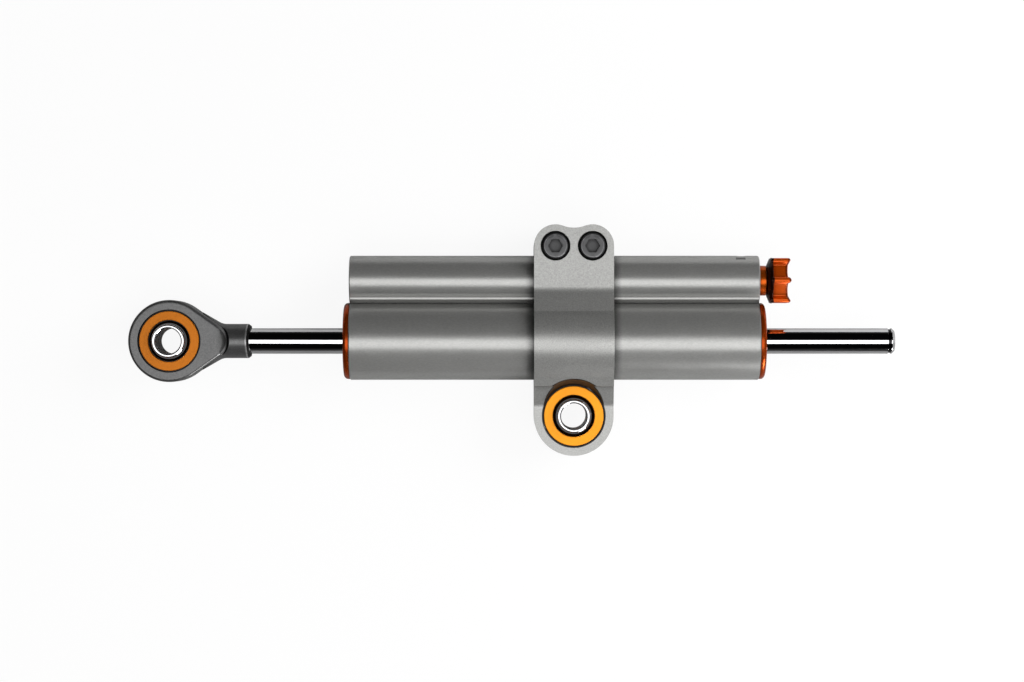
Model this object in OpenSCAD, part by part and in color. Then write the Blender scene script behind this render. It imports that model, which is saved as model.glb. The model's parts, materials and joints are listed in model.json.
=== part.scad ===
// Motorcycle steering damper with a through rod. An extruded body of two lobes holds the piston in
// the large lobe, and the needle valve and the compensator in the small one. A spherical bearing
// sits in the eye on the rod's end, and another in a clamp that grips the body.
// Frame: the origin is the centre of the clamp's bearing, +Z runs along its bore, +X along the
// piston rod towards the adjuster knob, and +Y towards the small lobe. Millimetres.

/* [Body] */
// Length of the body extrusion
body_len = 160; // [150:1:190]
// Distance from the body's left end to the middle of the clamp
clamp_from_left = 87.5; // [75:0.5:100]
// Radius of the large lobe, round the piston rod
main_lobe_r = 15.2; // [15.1:0.1:16.5]
// Radius of the small lobe, round the adjuster
upper_lobe_r = 9.75; // [9.6:0.05:10.5]
// Distance between the axes of the two lobes
lobe_gap = 23.65; // [23.4:0.05:24.6]
// Half the width across the narrow rails between the lobes
rail_half_w = 7.3; // [6.8:0.1:7.6]
// Height of each rail's flat land
rail_land = 0.7; // [0.6:0.1:1.6]
// Distance from the rod's axis to the rails' lower edge
rail_low = 16.2; // [15.8:0.1:16.6]
// Chamfer on the body's ends
body_chamfer = 0.4; // [0.2:0.1:0.6]
// Radius of the oil bore that the piston runs in
bore_r = 11.5; // [11:0.1:12]
// Radius of the counterbore that holds each seal head
counterbore_r = 13; // [12.6:0.1:13.4]
// Radius of the drilled oil ports
port_r = 1.5; // [1:0.1:2]
// Radius of the oil passage in the small lobe
passage_r = 2.2; // [1.8:0.1:3]

/* [Seal heads] */
// Length of the threaded part inside the body
head_len = 16; // [14:0.5:20]
// Thickness of the visible flange
head_flange = 2.2; // [1.8:0.1:4]
// Step from the body's outside in to the flange's edge
head_step = 0.3; // [0.1:0.1:0.8]
// Rounding of the flange's outer edge
head_round = 1.5; // [0.5:0.1:1.7]
// Radius of each spanner hole in the flange
spanner_r = 1.1; // [0.8:0.1:1.4]
// Depth of each spanner hole
spanner_deep = 2; // [1:0.1:2.5]
// Length of the guide bush
bush_len = 8; // [6:0.5:9]
// Wall of the guide bush
bush_wall = 0.95; // [0.8:0.05:1.5]
// Length of the rod seal
seal_len = 3.9; // [3:0.1:4.5]
// Outer radius of the rod seal and of the wiper
seal_r = 8; // [7.5:0.1:8.5]
// Length of the wiper
wiper_len = 3; // [2.5:0.1:3.2]
// Height of the wiper's lip
wiper_lip = 0.8; // [0.5:0.1:1.2]

/* [Rod and piston] */
// Radius of the piston rod
rod_r = 5; // [4.8:0.1:5.2]
// Length of rod beyond the body's right end at rest
rod_tail = 53.1; // [48:0.1:60]
// Chamfer on the rod's right tip
rod_chamfer = 1; // [0.5:0.1:1.5]
// Distance from the rod's right tip to its ring groove
tip_groove_in = 1.4; // [1.2:0.1:3]
// Width of the ring groove in the rod's tip
tip_groove_w = 1.2; // [0.8:0.1:1.5]
// Depth of the ring groove in the rod's tip
tip_groove_deep = 0.35; // [0.2:0.05:0.8]
// Travel of the rod out of the body to the left
stroke_out = 40; // [30:1:42]
// Travel of the rod into the body to the right
stroke_in = 35; // [25:1:36]
// Length of the piston
piston_len = 14; // [12:0.5:16]
// Gap between the piston's metal and the bore
piston_gap = 0.3; // [0.2:0.05:0.5]
// Width of the piston band
band_w = 8; // [6:0.5:9]
// Thickness of the piston band
band_t = 1.2; // [1:0.1:1.5]
// Radius of the section of the ring under the band
energiser_r = 0.65; // [0.5:0.05:0.8]
// Thickness of each valve shim on the piston
shim_t = 0.3; // [0.2:0.1:0.6]
// Thickness of each circlip that holds the piston
circlip_t = 1; // [0.8:0.1:1.2]
// Depth of the circlip grooves in the rod
circlip_deep = 0.6; // [0.4:0.1:0.9]
// Height of the circlips above the rod
circlip_high = 2; // [1.5:0.1:2.2]
// Radius of the bleed holes in the piston
bleed_r = 0.7; // [0.4:0.05:0.75]

/* [Rod eye] */
// Distance from the body's left end to the eye's centre at rest
eye_from_body = 70.1; // [68:0.1:80]
// Outer radius of the eye
eye_r = 16; // [15.6:0.1:18]
// Half the thickness of the eye
eye_half = 7.5; // [7:0.1:8.5]
// Rounding along the edges of the eye's faces
eye_round = 1.3; // [0.6:0.1:2]
// Length from the eye's centre to the end of its neck
eye_shank = 31.6; // [30:0.1:33]
// Radius of the neck
neck_r = 6.7; // [6.4:0.1:7.2]
// Chamfer at the end of the neck
neck_chamfer = 1.4; // [0.8:0.1:1.4]
// Half the angle between the eye's tapering sides
eye_taper = 30; // [26:1:32]
// Radius of the fillet between a tapering side and the neck
eye_fillet = 6; // [4:0.5:8]
// Radius of the flare that runs from the neck up to the eye's faces
flare_r = 30; // [26:1:32]
// Depth of the rod's full diameter in the neck
socket_deep = 3; // [2:0.5:5]
// Radius of the rod's threaded end
spigot_r = 4; // [3.5:0.1:4.3]
// Length of the rod's threaded end
spigot_len = 9.5; // [7:0.5:11]
// Chamfer on the rod's threaded end
spigot_chamfer = 0.5; // [0.3:0.1:1]

/* [Bearings] */
// Radius of the bolt bore through each sleeve
bolt_r = 5; // [4:0.1:5.2]
// Outer radius of the sleeves
sleeve_r = 6.5; // [6.2:0.1:6.7]
// Length of the sleeves
sleeve_len = 21.2; // [19:0.1:24]
// Chamfer on both ends of the sleeves
sleeve_chamfer = 0.4; // [0.2:0.1:0.6]
// Radius of the balls
ball_r = 9.8; // [9.7:0.05:9.9]
// Half the width of the balls across their flats
ball_half = 6.9; // [6.5:0.1:7.1]
// Outer radius of the bearing races
race_r = 12.1; // [11.8:0.1:12.2]
// Inner radius of the retaining rings
ring_in_r = 8.15; // [8:0.05:8.4]
// Outer radius of the retaining rings
ring_out_r = 11.65; // [11.2:0.05:11.7]
// Thickness of the retaining rings
ring_t = 1.5; // [1:0.1:1.8]
// Chamfer on the retaining rings' outer face
ring_chamfer = 0.2; // [0.1:0.05:0.4]

/* [Clamp] */
// Distance from the clamp bearing's axis to the rod's axis
clamp_drop = 29.2; // [28.8:0.1:31]
// Width of the clamp along the body
clamp_w = 31; // [30.6:0.1:34]
// Wall of the strap round the large lobe
strap_wall = 4; // [3.5:0.1:5]
// Half the thickness of the lug that holds the bearing
lug_half = 7.25; // [7:0.05:8]
// Half the thickness across the two ears
ear_half = 13; // [12.6:0.1:13.4]
// Distance from the rod's axis to where the ears' flat faces begin
ear_flat_from = 21.1; // [20.5:0.1:22]
// Slope of the ears' shoulders, in degrees
ear_slope = 16; // [14:1:17]
// Distance from the rod's axis to where the lug's flat faces begin
lug_flat_from = 26.4; // [26:0.1:27]
// Slope of the lug's shoulders, in degrees
lug_slope = 22; // [18:1:24]
// Step in the lug's shoulders, and its distance from the rod's axis
lug_step = 0.8; // [0.6:0.1:1]
lug_step_at = 17.4; // [17:0.1:18]
// Distance from the small lobe's axis to the screws
screw_up = 13.25; // [13:0.05:14.5]
// Half the distance between the two screws
screw_half_pitch = 7.2; // [6.8:0.1:7.4]
// Depth of the dip between the two ears
ear_dip = 1.3; // [0.8:0.1:2]
// Width of the split between the ears
split_w = 2; // [1:0.1:3]
// Half the angle of the cone that clears the strap above the bearing
relief_angle = 27.5; // [20:0.1:30]
// How much wider than the bearing's pocket the relief's outer wall is
relief_wide = 2.15; // [1.8:0.05:2.8]

/* [Screws] */
// Radius of the clamp screws
screw_r = 3; // [2.5:0.1:3.1]
// Radius of the clamp screws' heads
screw_head_r = 4.9; // [4.5:0.1:5.1]
// Height of the clamp screws' heads
screw_head_h = 6; // [5.6:0.1:6]
// Length of the clamp screws under the head
screw_len = 18; // [14:1:19]
// Chamfer on the clamp screws' heads and tips
screw_chamfer = 0.5; // [0.2:0.1:0.8]
// Radial gap round the clamp screws in the front ear
screw_clear = 0.3; // [0.1:0.1:0.5]
// Radius of the counterbores for the heads
screw_bore_r = 5.7; // [5.5:0.1:5.8]
// Width across the flats of the hex sockets
socket_af = 5; // [4:0.5:5]
// Depth of the hex sockets
screw_socket_deep = 3; // [2:0.5:4]

/* [Adjuster] */
// Radius of the adjuster housing
housing_r = 5.85; // [5.6:0.05:6]
// Length of the housing inside the body
housing_deep = 26.5; // [26:0.5:28]
// Length of the neck outside the body
housing_neck = 2.7; // [2.2:0.1:4]
// Step from the housing's outside in to the oil chamber behind the seat
chamber_step = 0.85; // [0.6:0.05:1.2]
// Radius of the bore inside the housing
housing_bore_r = 3.5; // [3.5:0.05:3.9]
// Radius of the adjuster spindle
spindle_r = 2.5; // [2.3:0.1:2.6]
// Depth of the flat on the spindle's outer end
spindle_flat = 0.5; // [0.3:0.1:0.8]
// Radius of the spindle's threaded tip
spindle_tip_r = 1.5; // [1.2:0.1:1.7]
// Width across the flats of the needle's hex
needle_af = 5; // [4.6:0.1:5.1]
// Length of the needle's hex
needle_hex_len = 8; // [7:0.5:8.5]
// Distance from the housing's inner end to the needle's hex
needle_in = 2; // [1.5:0.1:3]
// Distance from the needle's hex end to the spindle's tip
spindle_tip_in = 3; // [2.5:0.1:4]
// Radius of the needle's nose
nose_r = 1.8; // [1.6:0.05:2.2]
// Radius of the valve seat's hole
seat_r = 1.5; // [1.2:0.05:1.55]
// Length of the needle's cone
cone_len = 4; // [3:0.1:5]
// Radius of the cone's tip
cone_tip_r = 0.4; // [0.2:0.05:0.6]
// Needle travel from rest to closed
needle_close = 1; // [0.5:0.1:1.5]
// Needle travel from rest to fully open
needle_open = 2; // [1:0.1:2.5]
// Distance from the body's right end to the click detent
detent_in = 6.9; // [6.4:0.1:7.6]
// Number of clicks in a turn
clicks = 12; // [8:1:12]
// Radius of the detent ball
detent_ball_r = 1.25; // [1:0.05:1.3]
// Depth of the detent flutes
flute_deep = 0.4; // [0.2:0.05:0.45]
// Length of the detent collar on the spindle
collar_len = 5; // [4:0.1:5.4]
// Radius of the detent collar on the spindle
collar_r = 3.4; // [3.2:0.05:3.45]
// Radius of the grub screw over the detent spring
grub_r = 1.95; // [1.7:0.05:2.2]
// Length of the grub screw
grub_len = 1.9; // [1.5:0.1:2.1]
// Depth of the grub screw below the lobe's surface
grub_sink = 0.25; // [0.1:0.05:0.4]

/* [Knob] */
// Radius over the knob's lobes
knob_r = 10.1; // [9.6:0.1:11]
// Number of lobes
knob_lobes = 6; // [5:1:7]
// Radius of each lobe's rounded tip
knob_tip_r = 1.2; // [1:0.1:1.4]
// Radius at the bottom of the hollows between the lobes
knob_valley_r = 6.6; // [6:0.1:7]
// Length of the knob
knob_len = 9.3; // [8.5:0.1:11]
// Length of the cone at the knob's back
knob_back = 2.7; // [2:0.1:3.5]
// Chamfer round the knob's front
knob_chamfer = 0.7; // [0.4:0.1:1]
// Depth of the cone that dishes the knob's front
knob_dish = 3.4; // [2.5:0.1:4]
// Thickness of the knob's web under its screw
knob_web = 2.2; // [1.5:0.1:3]
// Radius of the knob screw
knob_screw_r = 1.25; // [1:0.05:1.4]
// Radius of the knob screw's head
knob_head_r = 2.5; // [2.2:0.1:2.8]
// Height of the knob screw's head
knob_head_h = 1.5; // [1.2:0.1:1.8]
// Length of the knob screw's thread in the spindle
knob_screw_len = 4.5; // [3:0.5:6]

/* [Compensator] */
// Depth of the compensator's bore from the body's left end
reservoir_deep = 29.5; // [29:0.5:34]
// Radius of the compensator's bore
reservoir_r = 6.8; // [6.5:0.1:7.2]
// Depth of the plug's face below the body's end
plug_in = 0.6; // [0.4:0.1:1.2]
// Length of the plug
plug_len = 5.5; // [5:0.1:6]
// Length of the floating piston
floater_len = 7; // [6:0.1:7.5]
// Depth of the spring pocket in the floating piston
floater_cup = 2.5; // [2:0.1:2.6]
// Length of the compensator spring
spring_len = 13.5; // [12:0.1:14]
// Radius to the middle of the compensator spring's wire
spring_r = 4.6; // [4.2:0.1:4.8]
// Radius of the compensator spring's wire
spring_wire_r = 0.45; // [0.35:0.05:0.5]
// Number of turns in the compensator spring
spring_turns = 5; // [4:1:6]

/* [Fits] */
// Radial gap of sliding and turning fits
running = 0.05; // [0.03:0.01:0.1]
// Gap between parts that are screwed or seated together
seat_gap = 0.05; // [0.03:0.01:0.1]
// Radial gap between the clamp and the body
clamp_gap = 0.05; // [0.03:0.01:0.1]
// Depth of grooves beyond the section of their seal ring
ring_play = 0.05; // [0.03:0.01:0.1]
// Radius of the section of the small seal rings
small_seal_r = 0.5; // [0.4:0.05:0.5]
// Radius of the section of the seal rings on the heads
head_seal_r = 0.75; // [0.6:0.05:0.85]
// Gap between a moving part and the end of its space
end_gap = 0.2; // [0.15:0.05:0.3]

/* [Hidden] */
$fn = 96;

// How far a cutting shape runs past the faces that it cuts
cut = 1;
// Depth by which a fillet cuts into the round surface that it blends with
blend = 0.005;
// Opening of the circlips, in degrees
circlip_open = 60;
// Number of bleed holes in the piston
bleed_holes = 4;
// Number of spanner holes in each seal head
spanner_holes = 4;
// Step from the piston's rim in to the shims' edge
shim_step = 1.8;
// Length of bore left between the piston's travel and each port
port_land = 3;
// Thickness of the metal between the right port and the valve seat
seat_wall = 1;
// Length of the valve seat's small hole
seat_hole_len = 3;
// Length of plain neck on the eye before its flare begins
neck_plain = 2;
// Depth of the eye's thread beyond the rod's threaded end
thread_spare = 1;
// Depth of the clamp screws' heads below the ear's face
screw_sink = 0.1;
// Distance from the housing's inner end to its seal ring
housing_seal_in = 5;
// Room left round and behind the knob screw's head and the floating piston's spring
head_room = 0.4;
cup_room = 0.3;
// Depth by which the hollows cut into the knob's tips, which gives each tip two crisp edges
tip_bite = 0.06;
// Depth of the sockets in the knob screw and the grub screw
small_socket_deep = 1;
// The rails' slopes run this far up from the rod's axis and in from the land, at both sides
rail_root = 3;
low_slope = [1.4, 2.8];
high_slope = [1.5, 2];
// Number of steps in a turn of a coil, and of sides on its wire
spring_steps = 20;
spring_sides = 8;
detent_steps = 10;
detent_sides = 6;

body_left = -clamp_from_left;
body_right = body_left + body_len;
rod_y = clamp_drop;
gallery_y = rod_y + lobe_gap;

head_r = main_lobe_r - head_step;
head_spigot_r = counterbore_r - seat_gap;
head_seal_mid_r = counterbore_r - ring_play - head_seal_r;
// Places along a seal head, measured outwards from the body's end face
seal_from = 2 * seat_gap - head_len;
seal_to = seal_from + seal_len;
bush_from = seal_to + seat_gap;
bush_to = bush_from + bush_len;
wiper_from = head_flange - seat_gap - wiper_len;
head_groove_at = -head_len / 2;
bush_r = rod_r + running + bush_wall;

head_in_left = body_left + head_len;
head_in_right = body_right - head_len;
piston_x = (head_in_left + head_in_right + stroke_out - stroke_in) / 2;
piston_left = piston_x - piston_len / 2;
piston_right = piston_x + piston_len / 2;
piston_r = bore_r - piston_gap;
band_out_r = bore_r - running;
band_groove_r = band_out_r - band_t - ring_play;
energiser_mid_r = band_groove_r - energiser_r - ring_play;
energiser_groove_r = energiser_mid_r - energiser_r - ring_play;
shim_r = piston_r - shim_step;
circlip_r = rod_r + circlip_high;
// The bleed holes lie between the circlips and the groove under the band
bleed_mid_r = (circlip_r + energiser_groove_r) / 2;
circlip_from = piston_len / 2 + seat_gap + shim_t + seat_gap;
circlip_groove_r = rod_r - circlip_deep;

// The ports lie clear of the piston's whole travel
port_margin = port_r + port_land;
left_port_x = piston_left - stroke_out - port_margin;
right_port_x = piston_right + stroke_in + port_margin;

eye_x = body_left - eye_from_body;
neck_end = eye_x + eye_shank;
flare_from = neck_end - neck_plain;
shoulder_x = neck_end - socket_deep;
rod_right = body_right + rod_tail;
// Corner between a tapering side of the eye and its neck, measured from the eye's centre
taper_corner = (eye_r / cos(eye_taper) - neck_r) / tan(eye_taper);
fillet_run = eye_fillet * tan(eye_taper / 2);

pocket_r = race_r + seat_gap;
relief_r = pocket_r + relief_wide;
ball_seat_r = ball_r + running;

strap_r = main_lobe_r + strap_wall;
lug_r = clamp_w / 2;
// Fillets beside the flat faces, and the fillet between each shoulder and the strap's outside
ear_fillet = 9;
lug_fillet = 6;
shoulder_fillet = 2.5;
screw_y = gallery_y + screw_up;
ear_r = lug_r - screw_half_pitch;
ear_top = screw_y + ear_r;
dip_y = ear_top - ear_dip;
dip_r = (pow(screw_half_pitch, 2) + pow(dip_y - screw_y, 2) - pow(ear_r, 2)) / 2
    / (ear_r - (dip_y - screw_y));
screw_seat = ear_half - screw_head_h - screw_sink;

seat_x = right_port_x - port_r - seat_wall;
housing_in = body_right - housing_deep;
housing_out = body_right + housing_neck;
chamber_r = housing_r - chamber_step;
collar_left = body_right - detent_in - collar_len / 2;
collar_right = collar_left + collar_len;
guide_end = collar_left - end_gap;
hex_left = housing_in + needle_in;
hex_right = hex_left + needle_hex_len;
hex_bore_end = hex_right + needle_open + 2 * end_gap;
spindle_tip_x = hex_left + spindle_tip_in;
cone_slope = (nose_r - cone_tip_r) / cone_len;
needle_shoulder = seat_x + needle_close + (nose_r - seat_r + running) / cone_slope;
spindle_seal_x = (collar_right + end_gap + housing_out) / 2;
spindle_seal_mid_r = spindle_r + running + small_seal_r;
housing_seal_mid_r = housing_r - small_seal_r;
housing_seal_x = housing_in + housing_seal_in;
detent_x = body_right - detent_in;
flute_r = detent_ball_r + running;
flute_mid_r = collar_r - flute_deep + flute_r;
// At rest the ball is lifted clear of the collar, and it drops by flute_deep into a flute
detent_mid_r = collar_r + running + detent_ball_r;
detent_top_r = detent_mid_r + detent_ball_r;
grub_top = upper_lobe_r - grub_sink;
grub_low = grub_top - grub_len;
detent_hole_r = detent_ball_r + running;
// Wire, radius and turns of the small spring over the ball
detent_wire_r = 0.12;
detent_coil_r = detent_ball_r - 3 * detent_wire_r;
detent_turns = 3;

knob_left = housing_out + end_gap;
knob_right = knob_left + knob_len;
knob_tip_mid = knob_r - knob_tip_r;
half_lobe = 180 / knob_lobes;
valley_side = knob_tip_mid * sin(half_lobe);
valley_rise = knob_tip_mid * cos(half_lobe) - knob_valley_r;
valley_reach = knob_tip_r - tip_bite;
valley_r = (pow(valley_side, 2) + pow(valley_rise, 2) - pow(valley_reach, 2)) / 2
    / (valley_rise + valley_reach);
valley_mid = knob_valley_r + valley_r;
knob_face_r = knob_r - knob_chamfer;
// The cone at the knob's back grows steeply up to its shoulder, and then by knob_step up to knob_r
knob_step = 1.1;
knob_shoulder_r = knob_r - knob_step;
knob_seat_r = knob_head_r + head_room;
knob_seat = knob_right - knob_dish - head_room;
spindle_end = knob_seat - knob_web;

reservoir_end = body_left + reservoir_deep;
plug_out = body_left + plug_in;
plug_inner = plug_out + plug_len;
spring_end = plug_inner + spring_len;
floater_left = spring_end - floater_cup;
floater_right = floater_left + floater_len;
floater_r = reservoir_r - running;
plug_seal_mid_r = reservoir_r - ring_play - small_seal_r;
plug_seal_x = plug_out + 0.7 * plug_len;
floater_seal_x = (floater_left + floater_cup + floater_right) / 2;
// Depth of the hex socket in the plug
plug_socket_deep = plug_len / 2;

body_grey = "#8f8f8d";
clamp_grey = "#a3a4a0";
eye_grey = "#727273";
orange = "#c65a14";
ring_orange = "#f0a02a";
steel = "#d8d8dc";
bronze = "#a8834a";
rubber = "#1d1d1f";

// Centre of the fillet between a shoulder and the strap's outside, for a shoulder that starts at the
// fillet round `centre`. It cuts a hair into the strap, so that the two outlines cross and don't
// just touch.
function shoulder_centre(centre, fillet, slope) =
    let (
        normal = [sin(slope), cos(slope)],
        high = centre * normal - fillet + shoulder_fillet,
        reach = strap_r - blend + shoulder_fillet
    )
        high * normal + sqrt(max(0, reach * reach - high * high)) * [cos(slope), -sin(slope)];

// Points of a circle of radius r in the plane of a coil's wire
function wire_ring(x, mid_r, angle, wire_r, sides) = [
    for (i = [0:sides - 1])
        let (reach = mid_r + wire_r * cos(360 * i / sides))
            [x + wire_r * sin(360 * i / sides), reach * cos(angle), reach * sin(angle)]
];

// A coil of round wire on the X axis, whose ends touch x = 0 and x = len
module coil(len, mid_r, wire_r, turns, steps, sides) {
    rings = turns * steps;
    pitch = (len - 2 * wire_r) / turns;
    points = [
        for (k = [0:rings])
            each wire_ring(wire_r + pitch * k / steps, mid_r, 360 * k / steps, wire_r, sides)
    ];
    last = rings * sides;
    polyhedron(
        points = points,
        faces = concat(
            [for (i = [1:sides - 2]) [0, i + 1, i]],
            [for (i = [1:sides - 2]) [last, last + i, last + i + 1]],
            [
                for (k = [0:rings - 1])
                    for (i = [0:sides - 1])
                        let (a = k * sides + i, b = k * sides + (i + 1) % sides)
                            each [[a, b, b + sides], [a, b + sides, a + sides]]
            ]
        )
    );
}

// Turns a profile of [radius, x] round the X axis
module turned() {
    rotate([0, 90, 0])
        rotate_extrude()
            children();
}

module tube_x(from, to, out_r, in_r = 0) {
    turned()
        translate([in_r, from])
            square([out_r - in_r, to - from]);
}

module ring_of_rubber(x, mid_r, section_r) {
    turned()
        translate([mid_r, x])
            circle(r = section_r);
}

// A groove in a shaft, cut from radius r_low outwards
module groove_x(from, to, r_low, r_high) {
    tube_x(from, to, r_high + cut, r_low);
}

// The groove for a small seal ring in the outside of a shaft of radius r_high
module seal_groove(x, mid_r, r_high) {
    half = small_seal_r + ring_play;
    groove_x(x - half, x + half, mid_r - half, r_high);
}

module on_rod_axis() {
    translate([0, rod_y, 0])
        children();
}

module on_gallery_axis() {
    translate([0, gallery_y, 0])
        children();
}

// Puts a shape on a body end, with X pointing out of that end
module at_end(side) {
    translate([side > 0 ? body_right : body_left, rod_y, 0])
        rotate([0, 0, side > 0 ? 0 : 180])
            children();
}

// Stands a shape at a point of the small lobe's axis, with Z pointing along +Y
module drilled_from_top(x) {
    translate([x, gallery_y, 0])
        rotate([-90, 0, 0])
            children();
}

// Half of the rails' section: a land that faces Z, and a slope down to the crease
module rail_profile(gap) {
    low = rail_low - gap;
    high = rail_low + rail_land + gap;
    half = rail_half_w + gap;
    polygon([
        [low - rail_root, -cut], [low - low_slope[0], half - low_slope[1]], [low, half],
        [high, half], [high + high_slope[0], half - high_slope[1]], [high + high_slope[0], -cut]
    ]);
}

// Section of the body's outside, with X up from the rod's axis, and gap added all round
module body_profile(gap = 0) {
    circle(r = main_lobe_r + gap);
    translate([lobe_gap, 0])
        circle(r = upper_lobe_r + gap);
    rail_profile(gap);
    mirror([0, 1])
        rail_profile(gap);
}

// Extrudes a section whose X points along +Y and whose Y points along +Z
module section_x(from, to) {
    translate([from, rod_y, 0])
        rotate([90, 0, 90])
            linear_extrude(height = to - from)
                children();
}

module chamfered_bar(r) {
    turned()
        polygon([
            [0, body_left], [r - body_chamfer, body_left], [r, body_left + body_chamfer],
            [r, body_right - body_chamfer], [r - body_chamfer, body_right], [0, body_right]
        ]);
}

module oil_port(x) {
    drilled_from_top(x)
        translate([0, 0, -lobe_gap + bore_r - cut])
            cylinder(h = lobe_gap - bore_r + cut, r = port_r);
}

module body_extrusion() {
    color(body_grey)
        difference() {
            union() {
                on_rod_axis()
                    chamfered_bar(main_lobe_r);
                on_gallery_axis()
                    chamfered_bar(upper_lobe_r);
                section_x(body_left + body_chamfer, body_right - body_chamfer) {
                    rail_profile(0);
                    mirror([0, 1])
                        rail_profile(0);
                }
            }
            on_rod_axis() {
                tube_x(body_left - cut, body_right + cut, bore_r);
                tube_x(body_left - cut, head_in_left + seat_gap, counterbore_r);
                tube_x(head_in_right - seat_gap, body_right + cut, counterbore_r);
            }
            on_gallery_axis() {
                tube_x(body_left - cut, reservoir_end, reservoir_r);
                tube_x(body_left + cut, seat_x - seat_hole_len, passage_r);
                tube_x(body_left + cut, seat_x + cut, seat_r);
                tube_x(seat_x, housing_in, chamber_r);
                tube_x(housing_in - seat_gap, body_right + cut, housing_r + seat_gap);
            }
            oil_port(left_port_x);
            oil_port(right_port_x);
            drilled_from_top(detent_x) {
                cylinder(h = upper_lobe_r, r = detent_hole_r);
                translate([0, 0, grub_low - seat_gap])
                    cylinder(h = upper_lobe_r, r = grub_r + seat_gap);
            }
        }
}

// Outer profile of a seal head, with its flange's outer edge rounded
module head_profile() {
    translate([0, -head_len])
        square([head_spigot_r, head_len + head_flange]);
    intersection() {
        square([head_r, head_flange]);
        union() {
            square([head_r, head_flange - head_round]);
            square([head_r - head_round, head_flange]);
            translate([head_r - head_round, head_flange - head_round])
                circle(r = head_round);
        }
    }
}

module seal_head(side) {
    color(orange)
        at_end(side)
            difference() {
                turned()
                    head_profile();
                tube_x(-head_len - cut, head_flange + cut, rod_r + 2 * seat_gap + 2 * running);
                tube_x(-head_len - cut, seal_to + seat_gap, seal_r + seat_gap);
                tube_x(seal_to, bush_to + seat_gap, bush_r + seat_gap);
                tube_x(wiper_from - seat_gap, head_flange + cut, seal_r + seat_gap);
                groove_x(
                    head_groove_at - head_seal_r - ring_play, head_groove_at + head_seal_r + ring_play,
                    head_seal_mid_r - head_seal_r - ring_play, counterbore_r
                );
                for (i = [0:spanner_holes - 1])
                    rotate([360 * i / spanner_holes + 45, 0, 0])
                        translate([0, 0, (seal_r + head_r) / 2])
                            tube_x(head_flange - spanner_deep, head_flange + cut, spanner_r);
            }
}

module seal_head_left() {
    seal_head(-1);
}

module seal_head_right() {
    seal_head(1);
}

module head_o_ring(side) {
    color(rubber)
        at_end(side)
            ring_of_rubber(head_groove_at, head_seal_mid_r, head_seal_r);
}

module head_o_ring_left() {
    head_o_ring(-1);
}

module head_o_ring_right() {
    head_o_ring(1);
}

module guide_bush(side) {
    color(bronze)
        at_end(side)
            tube_x(bush_from, bush_to, bush_r, rod_r + running);
}

module guide_bush_left() {
    guide_bush(-1);
}

module guide_bush_right() {
    guide_bush(1);
}

// A lip seal: a ring with a groove in the face that meets the oil
module rod_seal(side) {
    lip = (seal_r - rod_r) / 3;
    color(rubber)
        at_end(side)
            difference() {
                tube_x(seal_from, seal_to, seal_r, rod_r + running);
                tube_x(seal_from - cut, seal_from + seal_len / 2, seal_r - lip, rod_r + lip);
            }
}

module rod_seal_left() {
    rod_seal(-1);
}

module rod_seal_right() {
    rod_seal(1);
}

// A wiper: a ring whose outer face slopes in to a lip on the rod
module rod_wiper(side) {
    in_r = rod_r + running;
    wiper_to = wiper_from + wiper_len;
    lip_from = wiper_to - wiper_lip;
    color(rubber)
        at_end(side)
            turned()
                polygon([
                    [in_r, wiper_from], [seal_r, wiper_from], [seal_r, lip_from],
                    [in_r + 1.5 * wiper_lip, lip_from], [in_r + wiper_lip / 2, wiper_to], [in_r, wiper_to]
                ]);
}

module rod_wiper_left() {
    rod_wiper(-1);
}

module rod_wiper_right() {
    rod_wiper(1);
}

// Repeats a shape on both sides of the piston, with X pointing away from the piston's middle
module both_sides_of_piston() {
    translate([piston_x, 0, 0])
        for (side = [0, 1])
            mirror([side, 0, 0])
                children();
}

module piston_rod() {
    spigot_x = shoulder_x - spigot_len;
    color(steel)
        on_rod_axis()
            difference() {
                turned()
                    polygon([
                        [0, spigot_x], [spigot_r - spigot_chamfer, spigot_x],
                        [spigot_r, spigot_x + spigot_chamfer], [spigot_r, shoulder_x + seat_gap],
                        [rod_r, shoulder_x + seat_gap], [rod_r, rod_right - rod_chamfer],
                        [rod_r - rod_chamfer, rod_right], [0, rod_right]
                    ]);
                groove_x(
                    rod_right - tip_groove_in - tip_groove_w, rod_right - tip_groove_in,
                    rod_r - tip_groove_deep, rod_r
                );
                both_sides_of_piston()
                    groove_x(
                        circlip_from - seat_gap, circlip_from + circlip_t + seat_gap,
                        circlip_groove_r, rod_r
                    );
            }
}

module piston() {
    groove_half = band_w / 2 + ring_play;
    energiser_half = energiser_r + ring_play;
    color(steel)
        on_rod_axis()
            difference() {
                tube_x(piston_left, piston_right, piston_r, rod_r + running);
                groove_x(piston_x - groove_half, piston_x + groove_half, band_groove_r, piston_r);
                groove_x(
                    piston_x - energiser_half, piston_x + energiser_half,
                    energiser_groove_r, piston_r
                );
                for (i = [0:bleed_holes - 1])
                    rotate([360 * i / bleed_holes, 0, 0])
                        translate([0, 0, bleed_mid_r])
                            tube_x(piston_left - cut, piston_right + cut, bleed_r);
            }
}

module piston_band() {
    color("#3c3a38")
        on_rod_axis()
            tube_x(piston_x - band_w / 2, piston_x + band_w / 2, band_out_r, band_out_r - band_t);
}

module piston_energiser() {
    color(rubber)
        on_rod_axis()
            ring_of_rubber(piston_x, energiser_mid_r, energiser_r);
}

module piston_shims() {
    from = piston_len / 2 + seat_gap;
    color(steel)
        on_rod_axis()
            both_sides_of_piston()
                tube_x(from, from + shim_t, shim_r, rod_r + running);
}

module piston_circlips() {
    color(steel)
        on_rod_axis()
            both_sides_of_piston()
                difference() {
                    tube_x(
                        circlip_from, circlip_from + circlip_t, circlip_r, circlip_groove_r + seat_gap
                    );
                    translate([circlip_from - cut, 0, 0])
                        rotate([circlip_open / 2, 0, 0])
                            rotate([0, 90, 0])
                                rotate_extrude(angle = circlip_open)
                                    square([circlip_r + cut, circlip_t + 2 * cut]);
                }
}

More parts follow.
